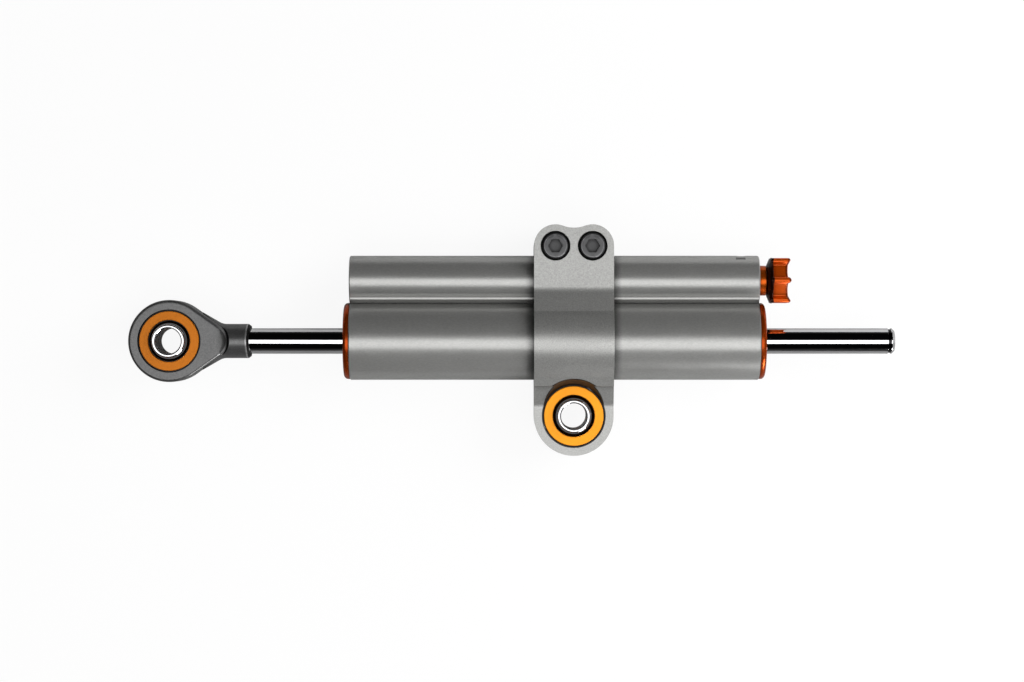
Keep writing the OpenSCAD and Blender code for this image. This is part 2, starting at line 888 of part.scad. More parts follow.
// One tapering side of the eye with the fillet to its neck, round the eye's centre
module eye_side_outline() {
    corner = [taper_corner, neck_r];
    fillet_mid = corner + [fillet_run, eye_fillet];
    along_taper = corner + fillet_run * [-cos(eye_taper), sin(eye_taper)];
    polygon([
        [0, 0], eye_r * [sin(eye_taper), cos(eye_taper)], corner, [eye_shank, neck_r], [eye_shank, 0]
    ]);
    difference() {
        polygon([corner, [fillet_mid[0], neck_r], fillet_mid, along_taper]);
        translate(fillet_mid)
            circle(r = eye_fillet);
    }
}

// The strip that is cut away to round one edge, along X from the origin
module edge_cut(len, r) {
    difference() {
        translate([-cut, -r, -r])
            cube([len + 2 * cut, r + cut, r + cut]);
        translate([-2 * cut, -r, -r])
            rotate([0, 90, 0])
                cylinder(h = len + 4 * cut, r = r);
    }
}

// The eye's plate before its flare is turned: a rounded disc and a tapering neck
module eye_plate() {
    taper_len = taper_corner / cos(eye_taper);
    rotate_extrude() {
        square([eye_r - eye_round, eye_half]);
        square([eye_r, eye_half - eye_round]);
        translate([eye_r - eye_round, eye_half - eye_round])
            circle(r = eye_round);
    }
    difference() {
        translate([0, 0, -eye_half])
            linear_extrude(height = 2 * eye_half) {
                eye_side_outline();
                mirror([0, 1])
                    eye_side_outline();
            }
        for (y_side = [0, 1], z_side = [0, 1])
            mirror([0, y_side, 0])
                mirror([0, 0, z_side])
                    rotate([0, 0, -eye_taper])
                        translate([0, eye_r, eye_half])
                            edge_cut(taper_len, eye_round);
    }
}

module rod_eye() {
    beyond_eye = eye_x - eye_r - cut;
    beyond_faces = eye_r + 5 * cut;
    color(eye_grey)
        on_rod_axis()
            difference() {
                intersection() {
                    translate([eye_x, 0, 0]) {
                        eye_plate();
                        mirror([0, 0, 1])
                            eye_plate();
                    }
                    turned()
                        difference() {
                            polygon([
                                [0, beyond_eye], [beyond_faces, beyond_eye],
                                [beyond_faces, flare_from], [neck_r, flare_from],
                                [neck_r, neck_end - neck_chamfer],
                                [neck_r - neck_chamfer, neck_end], [0, neck_end]
                            ]);
                            translate([neck_r + flare_r, flare_from])
                                circle(r = flare_r);
                        }
                }
                translate([eye_x, 0, -eye_half - cut])
                    cylinder(h = 2 * eye_half + 2 * cut, r = pocket_r);
                tube_x(shoulder_x, neck_end + cut, rod_r + running);
                tube_x(shoulder_x - spigot_len - thread_spare, neck_end, spigot_r + running);
            }
}

// The parts of a spherical bearing, round the origin, for a housing of half thickness half
function ring_low(half) = half - seat_gap - ring_t;

module bearing_race(half) {
    race_half = ring_low(half) - seat_gap;
    color(steel)
        difference() {
            translate([0, 0, -race_half])
                cylinder(h = 2 * race_half, r = race_r);
            sphere(r = ball_seat_r);
        }
}

module bearing_ball() {
    color(steel)
        difference() {
            intersection() {
                sphere(r = ball_r);
                cube([3 * ball_r, 3 * ball_r, 2 * ball_half], center = true);
            }
            cylinder(h = 3 * ball_r, r = sleeve_r + running, center = true);
        }
}

module bearing_sleeve() {
    half = sleeve_len / 2;
    c = sleeve_chamfer;
    color(steel)
        rotate_extrude()
            polygon([
                [bolt_r, -half + c], [bolt_r + c, -half], [sleeve_r - c, -half], [sleeve_r, -half + c],
                [sleeve_r, half - c], [sleeve_r - c, half], [bolt_r + c, half], [bolt_r, half - c]
            ]);
}

module bearing_ring(half, side) {
    low = ring_low(half);
    top = low + ring_t;
    c = ring_chamfer;
    color(ring_orange)
        mirror([0, 0, side > 0 ? 0 : 1])
            rotate_extrude()
                polygon([
                    [ring_in_r, low], [ring_out_r, low], [ring_out_r, top - c],
                    [ring_out_r - c, top], [ring_in_r + c, top], [ring_in_r, top - c]
                ]);
}

module at_eye() {
    translate([eye_x, rod_y, 0])
        children();
}

module eye_race() {
    at_eye()
        bearing_race(eye_half);
}

module eye_ball() {
    at_eye()
        bearing_ball();
}

module eye_sleeve() {
    at_eye()
        bearing_sleeve();
}

module eye_ring_front() {
    at_eye()
        bearing_ring(eye_half, 1);
}

module eye_ring_back() {
    at_eye()
        bearing_ring(eye_half, -1);
}

// A quarter of the clamp's side: a flat face, and a sloping shoulder that runs into the strap
module strap_side(from, half, fillet, slope, reach) {
    normal = [sin(slope), cos(slope)];
    low = [from, half + fillet];
    high = shoulder_centre(low, fillet, slope);
    difference() {
        polygon([
            [0, -cut], [0, 0], high, high - shoulder_fillet * normal, low - fillet * normal, low,
            [from, half], [reach, half], [reach, -cut]
        ]);
        translate(high)
            circle(r = shoulder_fillet);
        translate(low)
            circle(r = fillet);
    }
}

// The raised band of a lug's shoulder between the strap and the step
module shoulder_band() {
    function rise(at) = lug_half + (lug_flat_from - at) * tan(lug_slope);
    foot = lug_step_at + lug_step / 3;
    inner = lug_step_at / 2;
    polygon([
        [inner, 0], [inner, rise(inner) + lug_step], [lug_step_at, rise(lug_step_at) + lug_step],
        [foot, rise(foot) - blend], [foot, 0]
    ]);
}

// The clamp's form along X: a round strap with the ears above it and the lug below
module clamp_side() {
    section_x(-lug_r, lug_r)
        circle(r = strap_r);
    for (side = [0, 1]) {
        section_x(-lug_r, lug_r)
            mirror([0, side])
                strap_side(ear_flat_from, ear_half, ear_fillet, ear_slope, ear_top - rod_y);
        section_x(-lug_r, lug_r)
            mirror([0, side])
                mirror([1, 0]) {
                    strap_side(lug_flat_from, lug_half, lug_fillet, lug_slope, rod_y + lug_r);
                    shoulder_band();
                }
    }
}

// The clamp seen along Z: a round lug below, and two ears with a dip between them above
module clamp_front_profile() {
    circle(r = lug_r);
    translate([-lug_r, 0])
        square([clamp_w, screw_y]);
    for (side = [-1, 1])
        translate([side * screw_half_pitch, screw_y])
            circle(r = ear_r);
    difference() {
        polygon([[-screw_half_pitch, screw_y], [screw_half_pitch, screw_y], [0, dip_y + dip_r]]);
        translate([0, dip_y + dip_r])
            circle(r = dip_r);
    }
}

module clamp_bracket() {
    relief_h = relief_wide / tan(relief_angle);
    color(clamp_grey)
        difference() {
            intersection() {
                clamp_side();
                translate([0, 0, -strap_r - cut])
                    linear_extrude(height = 2 * (strap_r + cut))
                        clamp_front_profile();
            }
            section_x(-lug_r - cut, lug_r + cut)
                body_profile(clamp_gap);
            translate([-lug_r - cut, gallery_y, -split_w / 2])
                cube([clamp_w + 2 * cut, ear_top - gallery_y + cut, split_w]);
            cylinder(h = 4 * strap_r, r = pocket_r, center = true);
            for (side = [0, 1])
                mirror([0, 0, side])
                    translate([0, 0, lug_half]) {
                        cylinder(h = relief_h, r1 = pocket_r, r2 = relief_r);
                        translate([0, 0, relief_h])
                            cylinder(h = strap_r, r = relief_r);
                    }
            for (side = [-1, 1])
                translate([side * screw_half_pitch, screw_y, 0]) {
                    translate([0, 0, screw_seat])
                        cylinder(h = ear_half, r = screw_bore_r);
                    cylinder(h = ear_half, r = screw_r + screw_clear);
                    translate([0, 0, -ear_half - cut])
                        cylinder(h = ear_half + 2 * cut, r = screw_r + seat_gap);
                }
        }
}

// A hexagonal bar on the Z axis, with a corner pointing along X
module hex_bar(af, h) {
    cylinder(h = h, r = af / sqrt(3), $fn = 6);
}

module clamp_screws() {
    c = screw_chamfer;
    color("#5c5c5e")
        for (side = [-1, 1])
            translate([side * screw_half_pitch, screw_y, screw_seat + seat_gap])
                difference() {
                    rotate_extrude()
                        polygon([
                            [0, -screw_len], [screw_r - c, -screw_len], [screw_r, c - screw_len],
                            [screw_r, 0], [screw_head_r, 0], [screw_head_r, screw_head_h - c],
                            [screw_head_r - c, screw_head_h], [0, screw_head_h]
                        ]);
                    translate([0, 0, screw_head_h - screw_socket_deep])
                        hex_bar(socket_af, screw_socket_deep + cut);
                }
}

module clamp_race() {
    bearing_race(lug_half);
}

module clamp_ball() {
    bearing_ball();
}

module clamp_sleeve() {
    bearing_sleeve();
}

module clamp_ring_front() {
    bearing_ring(lug_half, 1);
}

module clamp_ring_back() {
    bearing_ring(lug_half, -1);
}

module adjuster_housing() {
    groove_half = small_seal_r + ring_play;
    color(orange)
        difference() {
            on_gallery_axis()
                difference() {
                    tube_x(housing_in, housing_out, housing_r, spindle_r + running);
                    tube_x(housing_in - cut, collar_right + end_gap, housing_bore_r);
                    tube_x(
                        spindle_seal_x - groove_half, spindle_seal_x + groove_half,
                        spindle_seal_mid_r + groove_half
                    );
                    seal_groove(housing_seal_x, housing_seal_mid_r, housing_r);
                }
            drilled_from_top(detent_x)
                cylinder(h = upper_lobe_r, r = detent_hole_r);
        }
}

module housing_o_ring() {
    color(rubber)
        on_gallery_axis()
            ring_of_rubber(housing_seal_x, housing_seal_mid_r, small_seal_r);
}

module spindle_o_ring() {
    color(rubber)
        on_gallery_axis()
            ring_of_rubber(spindle_seal_x, spindle_seal_mid_r, small_seal_r);
}

module hex_along_x(from, to, af) {
    translate([from, 0, 0])
        rotate([0, 90, 0])
            hex_bar(af, to - from);
}

module needle_guide() {
    color(bronze)
        on_gallery_axis()
            difference() {
                tube_x(housing_in, guide_end, housing_bore_r - seat_gap);
                hex_along_x(housing_in - cut, hex_bore_end, needle_af + 2 * running);
                tube_x(housing_in, guide_end + cut, spindle_r + running);
            }
}

module needle() {
    color(steel)
        on_gallery_axis()
            difference() {
                union() {
                    turned()
                        polygon([
                            [0, needle_shoulder - cone_len], [cone_tip_r, needle_shoulder - cone_len],
                            [nose_r, needle_shoulder], [nose_r, hex_left + cut], [0, hex_left + cut]
                        ]);
                    hex_along_x(hex_left, hex_right, needle_af);
                }
                tube_x(
                    spindle_tip_x - needle_open - end_gap, hex_right + cut, spindle_tip_r + running
                );
            }
}

// Section of the spindle's outer end, with its flat, gap added all round
module d_section(gap) {
    intersection() {
        circle(r = spindle_r + gap);
        translate([-spindle_r - cut, -spindle_r - cut])
            square([2 * spindle_r - spindle_flat + cut + gap, 2 * (spindle_r + cut)]);
    }
}

module d_bar(from, to, gap) {
    translate([from, 0, 0])
        rotate([0, 90, 0])
            linear_extrude(height = to - from)
                d_section(gap);
}

module adjuster_spindle() {
    color(steel)
        on_gallery_axis()
            difference() {
                union() {
                    tube_x(spindle_tip_x, hex_bore_end + cut, spindle_tip_r);
                    tube_x(hex_bore_end + end_gap, knob_left, spindle_r);
                    tube_x(collar_left, collar_right, collar_r);
                    d_bar(knob_left - cut, spindle_end, 0);
                }
                for (i = [0:clicks - 1])
                    rotate([360 * i / clicks, 0, 0])
                        translate([0, flute_mid_r, 0])
                            tube_x(collar_left - cut, collar_right + cut, flute_r);
                tube_x(
                    spindle_end - knob_screw_len - 2 * end_gap, spindle_end + cut,
                    knob_screw_r + seat_gap
                );
            }
}

// The knob's outline: round lobes joined by hollows that meet them at a faint edge
module star_outline() {
    difference() {
        polygon([
            for (i = [0:2 * knob_lobes - 1])
                (i % 2 == 0 ? knob_tip_mid : valley_mid) * [cos(half_lobe * i), sin(half_lobe * i)]
        ]);
        for (i = [0:knob_lobes - 1])
            rotate(half_lobe * (2 * i + 1))
                translate([valley_mid, 0])
                    circle(r = valley_r);
    }
    for (i = [0:knob_lobes - 1])
        rotate(half_lobe * 2 * i)
            translate([knob_tip_mid, 0])
                circle(r = knob_tip_r);
}

// The knob's turned form: a cone at the back, a dish in front, and a seat for its screw
module knob_profile() {
    hole_r = knob_screw_r + seat_gap;
    shoulder_x = knob_left + knob_back / 2;
    polygon([
        [hole_r, knob_left], [housing_r, knob_left], [knob_shoulder_r, shoulder_x],
        [knob_r + cut, shoulder_x + knob_back / 2 * (knob_step + cut) / knob_step],
        [knob_r + cut, knob_right - knob_chamfer - cut], [knob_face_r, knob_right],
        [knob_seat_r, knob_right - knob_dish], [knob_seat_r, knob_seat], [hole_r, knob_seat]
    ]);
}

module adjuster_knob() {
    color(orange)
        on_gallery_axis()
            difference() {
                intersection() {
                    translate([knob_left - cut, 0, 0])
                        rotate([0, 90, 0])
                            linear_extrude(height = knob_len + 2 * cut)
                                star_outline();
                    turned()
                        knob_profile();
                }
                d_bar(knob_left - cut, spindle_end + seat_gap, running);
            }
}

module knob_screw() {
    tip = spindle_end - knob_screw_len;
    head_from = knob_seat + seat_gap;
    head_to = head_from + knob_head_h;
    c = knob_head_h / 4;
    color("#5c5c5e")
        on_gallery_axis()
            difference() {
                turned()
                    polygon([
                        [0, tip], [knob_screw_r, tip], [knob_screw_r, head_from],
                        [knob_head_r, head_from], [knob_head_r, head_to - c],
                        [knob_head_r - c, head_to], [0, head_to]
                    ]);
                hex_along_x(head_to - small_socket_deep, head_to + cut, knob_head_r);
            }
}

module detent_ball() {
    color(steel)
        drilled_from_top(detent_x)
            translate([0, 0, detent_mid_r])
                sphere(r = detent_ball_r);
}

module detent_spring() {
    color(steel)
        drilled_from_top(detent_x)
            translate([0, 0, detent_top_r])
                rotate([0, -90, 0])
                    coil(
                        grub_low - detent_top_r, detent_coil_r, detent_wire_r, detent_turns,
                        detent_steps, detent_sides
                    );
}

module detent_screw() {
    color("#5c5c5e")
        drilled_from_top(detent_x)
            difference() {
                translate([0, 0, grub_low])
                    cylinder(h = grub_len, r = grub_r);
                translate([0, 0, grub_top - small_socket_deep])
                    hex_bar(grub_r, small_socket_deep + cut);
            }
}

module compensator_plug() {
    color("#3a3a3c")
        on_gallery_axis()
            difference() {
                tube_x(plug_out, plug_inner, reservoir_r - seat_gap);
                seal_groove(plug_seal_x, plug_seal_mid_r, reservoir_r);
                hex_along_x(plug_out - cut, plug_out + plug_socket_deep, socket_af);
            }
}

module plug_o_ring() {
    color(rubber)
        on_gallery_axis()
            ring_of_rubber(plug_seal_x, plug_seal_mid_r, small_seal_r);
}

module compensator_spring() {
    color(steel)
        on_gallery_axis()
            translate([plug_inner, 0, 0])
                coil(spring_len, spring_r, spring_wire_r, spring_turns, spring_steps, spring_sides);
}

module floating_piston() {
    color("#c9c9c9")
        on_gallery_axis()
            difference() {
                tube_x(floater_left, floater_right, floater_r);
                tube_x(floater_left - cut, spring_end, spring_r + spring_wire_r + cup_room);
                seal_groove(floater_seal_x, plug_seal_mid_r, floater_r);
            }
}

module floating_piston_o_ring() {
    color(rubber)
        on_gallery_axis()
            ring_of_rubber(floater_seal_x, plug_seal_mid_r, small_seal_r);
}

body_extrusion();
seal_head_left();
seal_head_right();
head_o_ring_left();
head_o_ring_right();
guide_bush_left();
guide_bush_right();
rod_seal_left();
rod_seal_right();
rod_wiper_left();
rod_wiper_right();
piston_rod();
piston();
piston_band();
piston_energiser();
piston_shims();
piston_circlips();
rod_eye();
eye_race();
eye_ball();
eye_sleeve();
eye_ring_front();
eye_ring_back();
clamp_bracket();
clamp_screws();
clamp_race();
clamp_ball();
clamp_sleeve();
clamp_ring_front();
clamp_ring_back();
adjuster_housing();
housing_o_ring();
spindle_o_ring();
needle_guide();
needle();
adjuster_spindle();
adjuster_knob();
knob_screw();
detent_ball();
detent_spring();
detent_screw();
compensator_plug();
plug_o_ring();
compensator_spring();
floating_piston();
floating_piston_o_ring();
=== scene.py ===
"""The looks of a motorcycle steering damper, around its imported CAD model. Metres, in the CAD's frame:
the origin is the centre of the clamp's bearing, +Z points at the camera, +X along the piston rod."""

import json
import math

import bpy
from mathutils import Matrix, Vector


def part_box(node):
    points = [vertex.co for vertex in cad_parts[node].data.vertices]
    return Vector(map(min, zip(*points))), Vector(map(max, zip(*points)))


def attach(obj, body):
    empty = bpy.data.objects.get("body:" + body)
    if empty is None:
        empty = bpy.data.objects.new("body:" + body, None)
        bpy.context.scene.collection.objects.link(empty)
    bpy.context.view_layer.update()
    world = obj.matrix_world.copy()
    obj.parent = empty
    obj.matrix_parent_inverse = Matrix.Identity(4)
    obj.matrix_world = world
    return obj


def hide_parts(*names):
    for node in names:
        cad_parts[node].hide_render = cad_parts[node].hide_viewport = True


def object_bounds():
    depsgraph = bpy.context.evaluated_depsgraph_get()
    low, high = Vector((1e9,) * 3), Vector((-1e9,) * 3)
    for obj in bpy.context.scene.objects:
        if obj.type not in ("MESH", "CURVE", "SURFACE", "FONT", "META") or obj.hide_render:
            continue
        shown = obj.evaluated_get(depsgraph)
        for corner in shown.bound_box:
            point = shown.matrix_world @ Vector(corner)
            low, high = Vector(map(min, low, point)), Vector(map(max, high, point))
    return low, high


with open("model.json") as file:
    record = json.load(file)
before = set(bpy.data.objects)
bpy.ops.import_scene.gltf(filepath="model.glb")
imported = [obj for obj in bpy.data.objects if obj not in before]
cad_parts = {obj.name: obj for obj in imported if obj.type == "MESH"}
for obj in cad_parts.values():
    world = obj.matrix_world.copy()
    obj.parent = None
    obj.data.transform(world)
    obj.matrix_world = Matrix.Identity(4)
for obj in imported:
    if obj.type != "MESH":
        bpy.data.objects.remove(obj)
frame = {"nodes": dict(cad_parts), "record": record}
CAD_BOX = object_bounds()
MM = 0.001
TAU = 2 * math.pi
WHITE = (1, 1, 1, 1)

ROD_Y = (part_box("piston_rod")[0].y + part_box("piston_rod")[1].y) / 2
GALLERY_Y = (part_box("floating_piston")[0].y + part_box("floating_piston")[1].y) / 2
EYE_X = (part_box("eye_sleeve")[0].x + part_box("eye_sleeve")[1].x) / 2
ROD_Y_MM = ROD_Y / MM
GALLERY_Y_MM = GALLERY_Y / MM
EYE_X_MM = EYE_X / MM

# Camera: its distance from the plane z = 0, and the point of that plane that it looks at
CAMERA_FAR = 1.078
CAMERA_AT = Vector((-0.02404, ROD_Y, 0))
# Its lens and the width of its sensor in millimetres, and the nearest and farthest that it sees
CAMERA_LENS = 96.7
CAMERA_SENSOR = 36
CAMERA_CLIP = (0.05, 30)


def tilted(degrees):
    """A direction that many degrees from +Z towards +Y."""
    return (0, math.sin(math.radians(degrees)), math.cos(math.radians(degrees)))


# The lights: a softbox over the camera, wide along the rod, a low strip, and two fills that no
# surface mirrors. Each has its name, the direction that it comes from, its distance, its two sides,
# its power, and whether surfaces mirror it.
LIGHTS = (
    ("key", tilted(-8.75), 1.6, (2.4, 0.90), 13.2, True),
    ("low_strip", (0.474, -0.709, 0.11), 0.86, (0.4, 0.26), 5.2, True),
    ("low_fill", (0.25, *tilted(-33)[1:]), 1.3, (1.2, 0.9), 9, False),
    ("right_fill", (0.75, 0.25, 0.6), 0.9, (0.6, 0.6), 9, False),
)
# A light whose direction leans more to X than this has its first side along Y
LIGHT_TURNS_AT = 0.7

# The world's strength, between two heights of the direction that the light comes from
WORLD_HEIGHTS = (0.05, 0.3)
WORLD_STRENGTHS = (0.04, 0.002)

# The floor: half its side, its colour, the share of white that the camera sees, and that white
FLOOR_HALF = 6
FLOOR_COLOR = (0.9, 0.9, 0.9, 1)
FLOOR_WHITE_SHARE = 0.93
FLOOR_WHITE = 0.98
# What metal mirrors of the floor: two slopes along Y that add up, as (from, to, low, high)
MIRRORED_NEAR = (-0.17, -0.05, 0.01, 0.16)
MIRRORED_BEHIND = (-0.03, 0.10, 0.0, 0.24)


def node_tree(owner):
    owner.use_nodes = True
    tree = owner.node_tree
    tree.nodes.clear()
    return tree


def add(tree, kind, inputs=None, **settings):
    """A node with its settings, and with its inputs as values or as links from other nodes' outputs."""
    node = tree.nodes.new(kind)
    for key, value in settings.items():
        setattr(node, key, value)
    for key, value in (inputs or {}).items():
        if isinstance(value, bpy.types.NodeSocket):
            tree.links.new(value, node.inputs[key])
        else:
            node.inputs[key].default_value = value
    return node


def math_node(tree, operation, *values):
    return add(tree, "ShaderNodeMath", dict(enumerate(values)), operation=operation).outputs[0]


def product(tree, first, *others):
    for other in others:
        first = math_node(tree, "MULTIPLY", first, other)
    return first


def hypotenuse(tree, first, second):
    squares = [math_node(tree, "MULTIPLY", v, v) for v in (first, second)]
    return math_node(tree, "SQRT", math_node(tree, "ADD", *squares))


def between(tree, value, start, end, first, last):
    """A value that goes from first to last as another goes from start to end."""
    return add(tree, "ShaderNodeMapRange", {
        "Value": value, "From Min": start, "From Max": end, "To Min": first, "To Max": last,
    }).outputs["Result"]


def choose(tree, test, no, yes):
    """One value where a test gives 0, and another where it gives 1."""
    return between(tree, test, 0.0, 1.0, no, yes)


def coordinates(tree, kind="Object"):
    """The outputs X, Y and Z of one kind of texture coordinates."""
    place = add(tree, "ShaderNodeTexCoord")
    return add(tree, "ShaderNodeSeparateXYZ", {"Vector": place.outputs[kind]}).outputs


def place_mm(tree, x=0.0, y=0.0):
    """The surface's place in millimetres, from the line through (x, y) along Z."""
    axes = coordinates(tree)
    return [
        math_node(tree, "MULTIPLY_ADD", axes[axis], 1 / MM, -start)
        for axis, start in (("X", x), ("Y", y), ("Z", 0.0))
    ]


def mixed(tree, factor, first, second):
    """The first shader where the factor is 0, and the second where it is 1."""
    return add(tree, "ShaderNodeMixShader", {
        0: factor, 1: first.outputs[0], 2: second.outputs[0],
    }).outputs[0]


def make_camera():
    data = bpy.data.cameras.new("camera")
    data.sensor_width = CAMERA_SENSOR
    data.lens = CAMERA_LENS
    data.clip_start, data.clip_end = CAMERA_CLIP
    camera = bpy.data.objects.new("camera", data)
    camera.location = CAMERA_AT + Vector((0, 0, CAMERA_FAR))
    bpy.context.scene.collection.objects.link(camera)
    bpy.context.scene.camera = camera


def softbox(name, toward, far, size, power, glossy):
    """An area light that shines on the damper from a direction, with its first side along X or Y."""
    data = bpy.data.lights.new(name, "AREA")
    data.shape = "RECTANGLE"
    data.size, data.size_y = size
    data.energy = power
    light = bpy.data.objects.new(name, data)
    direction = Vector(toward).normalized()
    light.location = CAMERA_AT + direction * far
    along = Vector((1, 0, 0)) if abs(direction.x) < LIGHT_TURNS_AT else Vector((0, 1, 0))
    up = direction.cross(along).normalized()
    side = up.cross(direction)
    light.rotation_mode = "QUATERNION"
    light.rotation_quaternion = Matrix((side, up, direction)).transposed().to_quaternion()
    light.visible_camera = False
    light.visible_glossy = glossy
    bpy.context.scene.collection.objects.link(light)


def make_world():
    """White for the camera, and nearly dark for the lighting."""
    world = bpy.data.worlds.new("studio")
    bpy.context.scene.world = world
    tree = node_tree(world)
    height = coordinates(tree, "Generated")["Z"]
    strength = between(tree, height, *WORLD_HEIGHTS, *WORLD_STRENGTHS)
    studio = add(tree, "ShaderNodeBackground", {"Strength": strength})
    white = add(tree, "ShaderNodeBackground", {"Color": WHITE, "Strength": 1.0})
    path = add(tree, "ShaderNodeLightPath")
    seen = mixed(tree, path.outputs["Is Camera Ray"], studio, white)
    add(tree, "ShaderNodeOutputWorld", {"Surface": seen})


def make_floor():
    """A pale floor under the damper: nearly white to the camera with a faint shadow, and darker in
    what the metal mirrors."""
    low = CAD_BOX[0].z
    mesh = bpy.data.meshes.new("floor")
    corners = [(-1, -1), (1, -1), (1, 1), (-1, 1)]
    mesh.from_pydata([(x * FLOOR_HALF, y * FLOOR_HALF, low) for x, y in corners], [], [(0, 1, 2, 3)])
    floor = bpy.data.objects.new("floor", mesh)
    bpy.context.scene.collection.objects.link(floor)
    material = bpy.data.materials.new("pale_floor")
    tree = node_tree(material)
    path = add(tree, "ShaderNodeLightPath")
    share = product(tree, path.outputs["Is Camera Ray"], FLOOR_WHITE_SHARE)
    y = coordinates(tree)["Y"]
    near = between(tree, y, *MIRRORED_NEAR)
    behind = between(tree, y, *MIRRORED_BEHIND)
    pale = add(tree, "ShaderNodeMix", {
        0: path.outputs["Is Glossy Ray"], 6: FLOOR_COLOR, 7: math_node(tree, "ADD", near, behind),
    }, data_type="RGBA")
    paper = add(tree, "ShaderNodeBsdfDiffuse", {"Color": pale.outputs[2]})
    white = add(tree, "ShaderNodeEmission", {"Color": WHITE, "Strength": FLOOR_WHITE})
    add(tree, "ShaderNodeOutputMaterial", {"Surface": mixed(tree, share, paper, white)})
    mesh.materials.append(material)


# The materials' noise: its spots to the metre
FINE_SPOTS = 3800
BLASTED_SPOTS = 2200
CLOUD_SPOTS = 90
STREAK_SPOTS = 900
MOTTLE_SPOTS = 1500
# The range that its values mostly keep to, its detail, and the detail's share
NOISE_RANGE = (0.3, 0.7)
NOISE_DETAIL = 3.0
STREAK_DETAIL = 4
NOISE_ROUGHNESS = 0.6
# Depth of the grain and of the mottle in millimetres, and how far the roughness varies
GRAIN_DEPTH = 0.004
MOTTLE_DEPTH = 0.01
CLOUD_SPREAD = 0.02
SCRATCH_SPREAD = 0.03
MOTTLE_SPREAD = 0.08
# Darkest share of the colour in the streaks and in the mottle
STREAK_SHADE = 0.93
MOTTLE_SHADE = 0.8
# Rays that look for corners and for other pieces from each point, for the painted shade
SHADE_RAYS = 6


def grain(tree, spots, stretch=(1, 1, 1), detail=NOISE_DETAIL):
    """Noise in the object's own metres, with so many spots to the metre, stretched by axis."""
    place = add(tree, "ShaderNodeTexCoord")
    spread = add(tree, "ShaderNodeMapping", {
        "Vector": place.outputs["Object"], "Scale": tuple(spots * s for s in stretch),
    })
    return add(tree, "ShaderNodeTexNoise", {
        "Vector": spread.outputs["Vector"], "Scale": 1.0, "Detail": detail,
        "Roughness": NOISE_ROUGHNESS,
    }).outputs["Fac"]


def ramp(tree, noise, low, high):
    """Noise as a value from low to high."""
    return between(tree, noise, *NOISE_RANGE, low, high)


def tint(tree, noise, low, high):
    """Noise as a colour from low to high."""
    return add(tree, "ShaderNodeMix", {
        0: ramp(tree, noise, 0, 1), 6: (*low, 1), 7: (*high, 1),
    }, data_type="RGBA").outputs[2]


def times(tree, color, factor):
    return add(tree, "ShaderNodeMix", {
        0: 1, 6: color, 7: factor,
    }, data_type="RGBA", blend_type="MULTIPLY").outputs[2]


def shaded(tree, base, reach, power, own):
    """The base colour with painted shade: darkened beside other pieces within reach, and in its own
    corners if own.
    """
    kind = "ShaderNodeAmbientOcclusion"
    distance = {"Distance": reach * MM}
    light = add(tree, kind, distance, samples=SHADE_RAYS).outputs["AO"]
    if not own:
        alone = add(tree, kind, distance, samples=SHADE_RAYS, only_local=True).outputs["AO"]
        light = math_node(tree, "DIVIDE", light, alone)
    return times(tree, base, math_node(tree, "POWER", light, power))


def principled(tree, inputs):
    shader = add(tree, "ShaderNodeBsdfPrincipled", inputs)
    add(tree, "ShaderNodeOutputMaterial", {"Surface": shader.outputs[0]})


def anodised(name, color, metallic, roughness, spread=0.12, stretch=(1, 1, 1), corner=(2.5, 1.5),
             own=True, painted_light=None, spots=FINE_SPOTS):
    """Blasted and anodised aluminium: a fine grain in its colour and its surface, and clouds in its
    roughness. The spread is the grain's in the colour. The corner is the reach in millimetres and the
    power of the painted shade in corners, and without own only other pieces cast it. The painted light
    is a factor on the colour, for painted shade and painted highlights."""
    material = bpy.data.materials.new(name)
    tree = node_tree(material)
    fine = grain(tree, spots, stretch)
    low = tuple(c * (1 - spread) for c in color)
    high = tuple(c * (1 + spread) for c in color)
    base = tint(tree, fine, low, high)
    # Painted shade and painted highlights, as a factor on the colour
    if painted_light:
        base = times(tree, base, painted_light(tree))
    cloud = grain(tree, CLOUD_SPOTS)
    relief = add(tree, "ShaderNodeBump", {
        "Height": fine, "Distance": GRAIN_DEPTH * MM, "Strength": 1.0,
    })
    principled(tree, {
        "Base Color": shaded(tree, base, *corner, own), "Metallic": metallic,
        "Roughness": ramp(tree, cloud, roughness - CLOUD_SPREAD, roughness + CLOUD_SPREAD),
        "Normal": relief.outputs[0],
    })
    return material


def polished(name, color, roughness, stretch=(1, 1, 1), painted_light=None):
    """Ground and polished metal, with faint streaks left by grinding. The painted light, if given,
    darkens its colour as painted shade.
    """
    material = bpy.data.materials.new(name)
    tree = node_tree(material)
    streaks = grain(tree, STREAK_SPOTS, stretch, STREAK_DETAIL)
    base = tint(tree, streaks, tuple(c * STREAK_SHADE for c in color), color)
    # Painted shade, as a factor on the colour
    if painted_light:
        base = times(tree, base, painted_light(tree))
    principled(tree, {
        "Base Color": base, "Metallic": 1.0,
        "Roughness": ramp(tree, streaks, roughness, roughness + SCRATCH_SPREAD),
    })
    return material


def dull(name, color, roughness):
    """Rubber or plastic, with a soft mottled surface."""
    material = bpy.data.materials.new(name)
    tree = node_tree(material)
    mottle = grain(tree, MOTTLE_SPOTS)
    relief = add(tree, "ShaderNodeBump", {"Height": mottle, "Distance": MOTTLE_DEPTH * MM})
    principled(tree, {
        "Base Color": tint(tree, mottle, tuple(c * MOTTLE_SHADE for c in color), color),
        "Roughness": ramp(tree, mottle, roughness - MOTTLE_SPREAD, roughness + MOTTLE_SPREAD),
        "Normal": relief.outputs[0],
    })
    return material


# Places of painted shade and painted highlights, in millimetres. A shade or gain is a factor on the
# colour.
# The inside of the sleeves' bores, dark with painted shade
SLEEVE_BORE_R = 5.06
SLEEVE_BORE_SHADE = 0.03
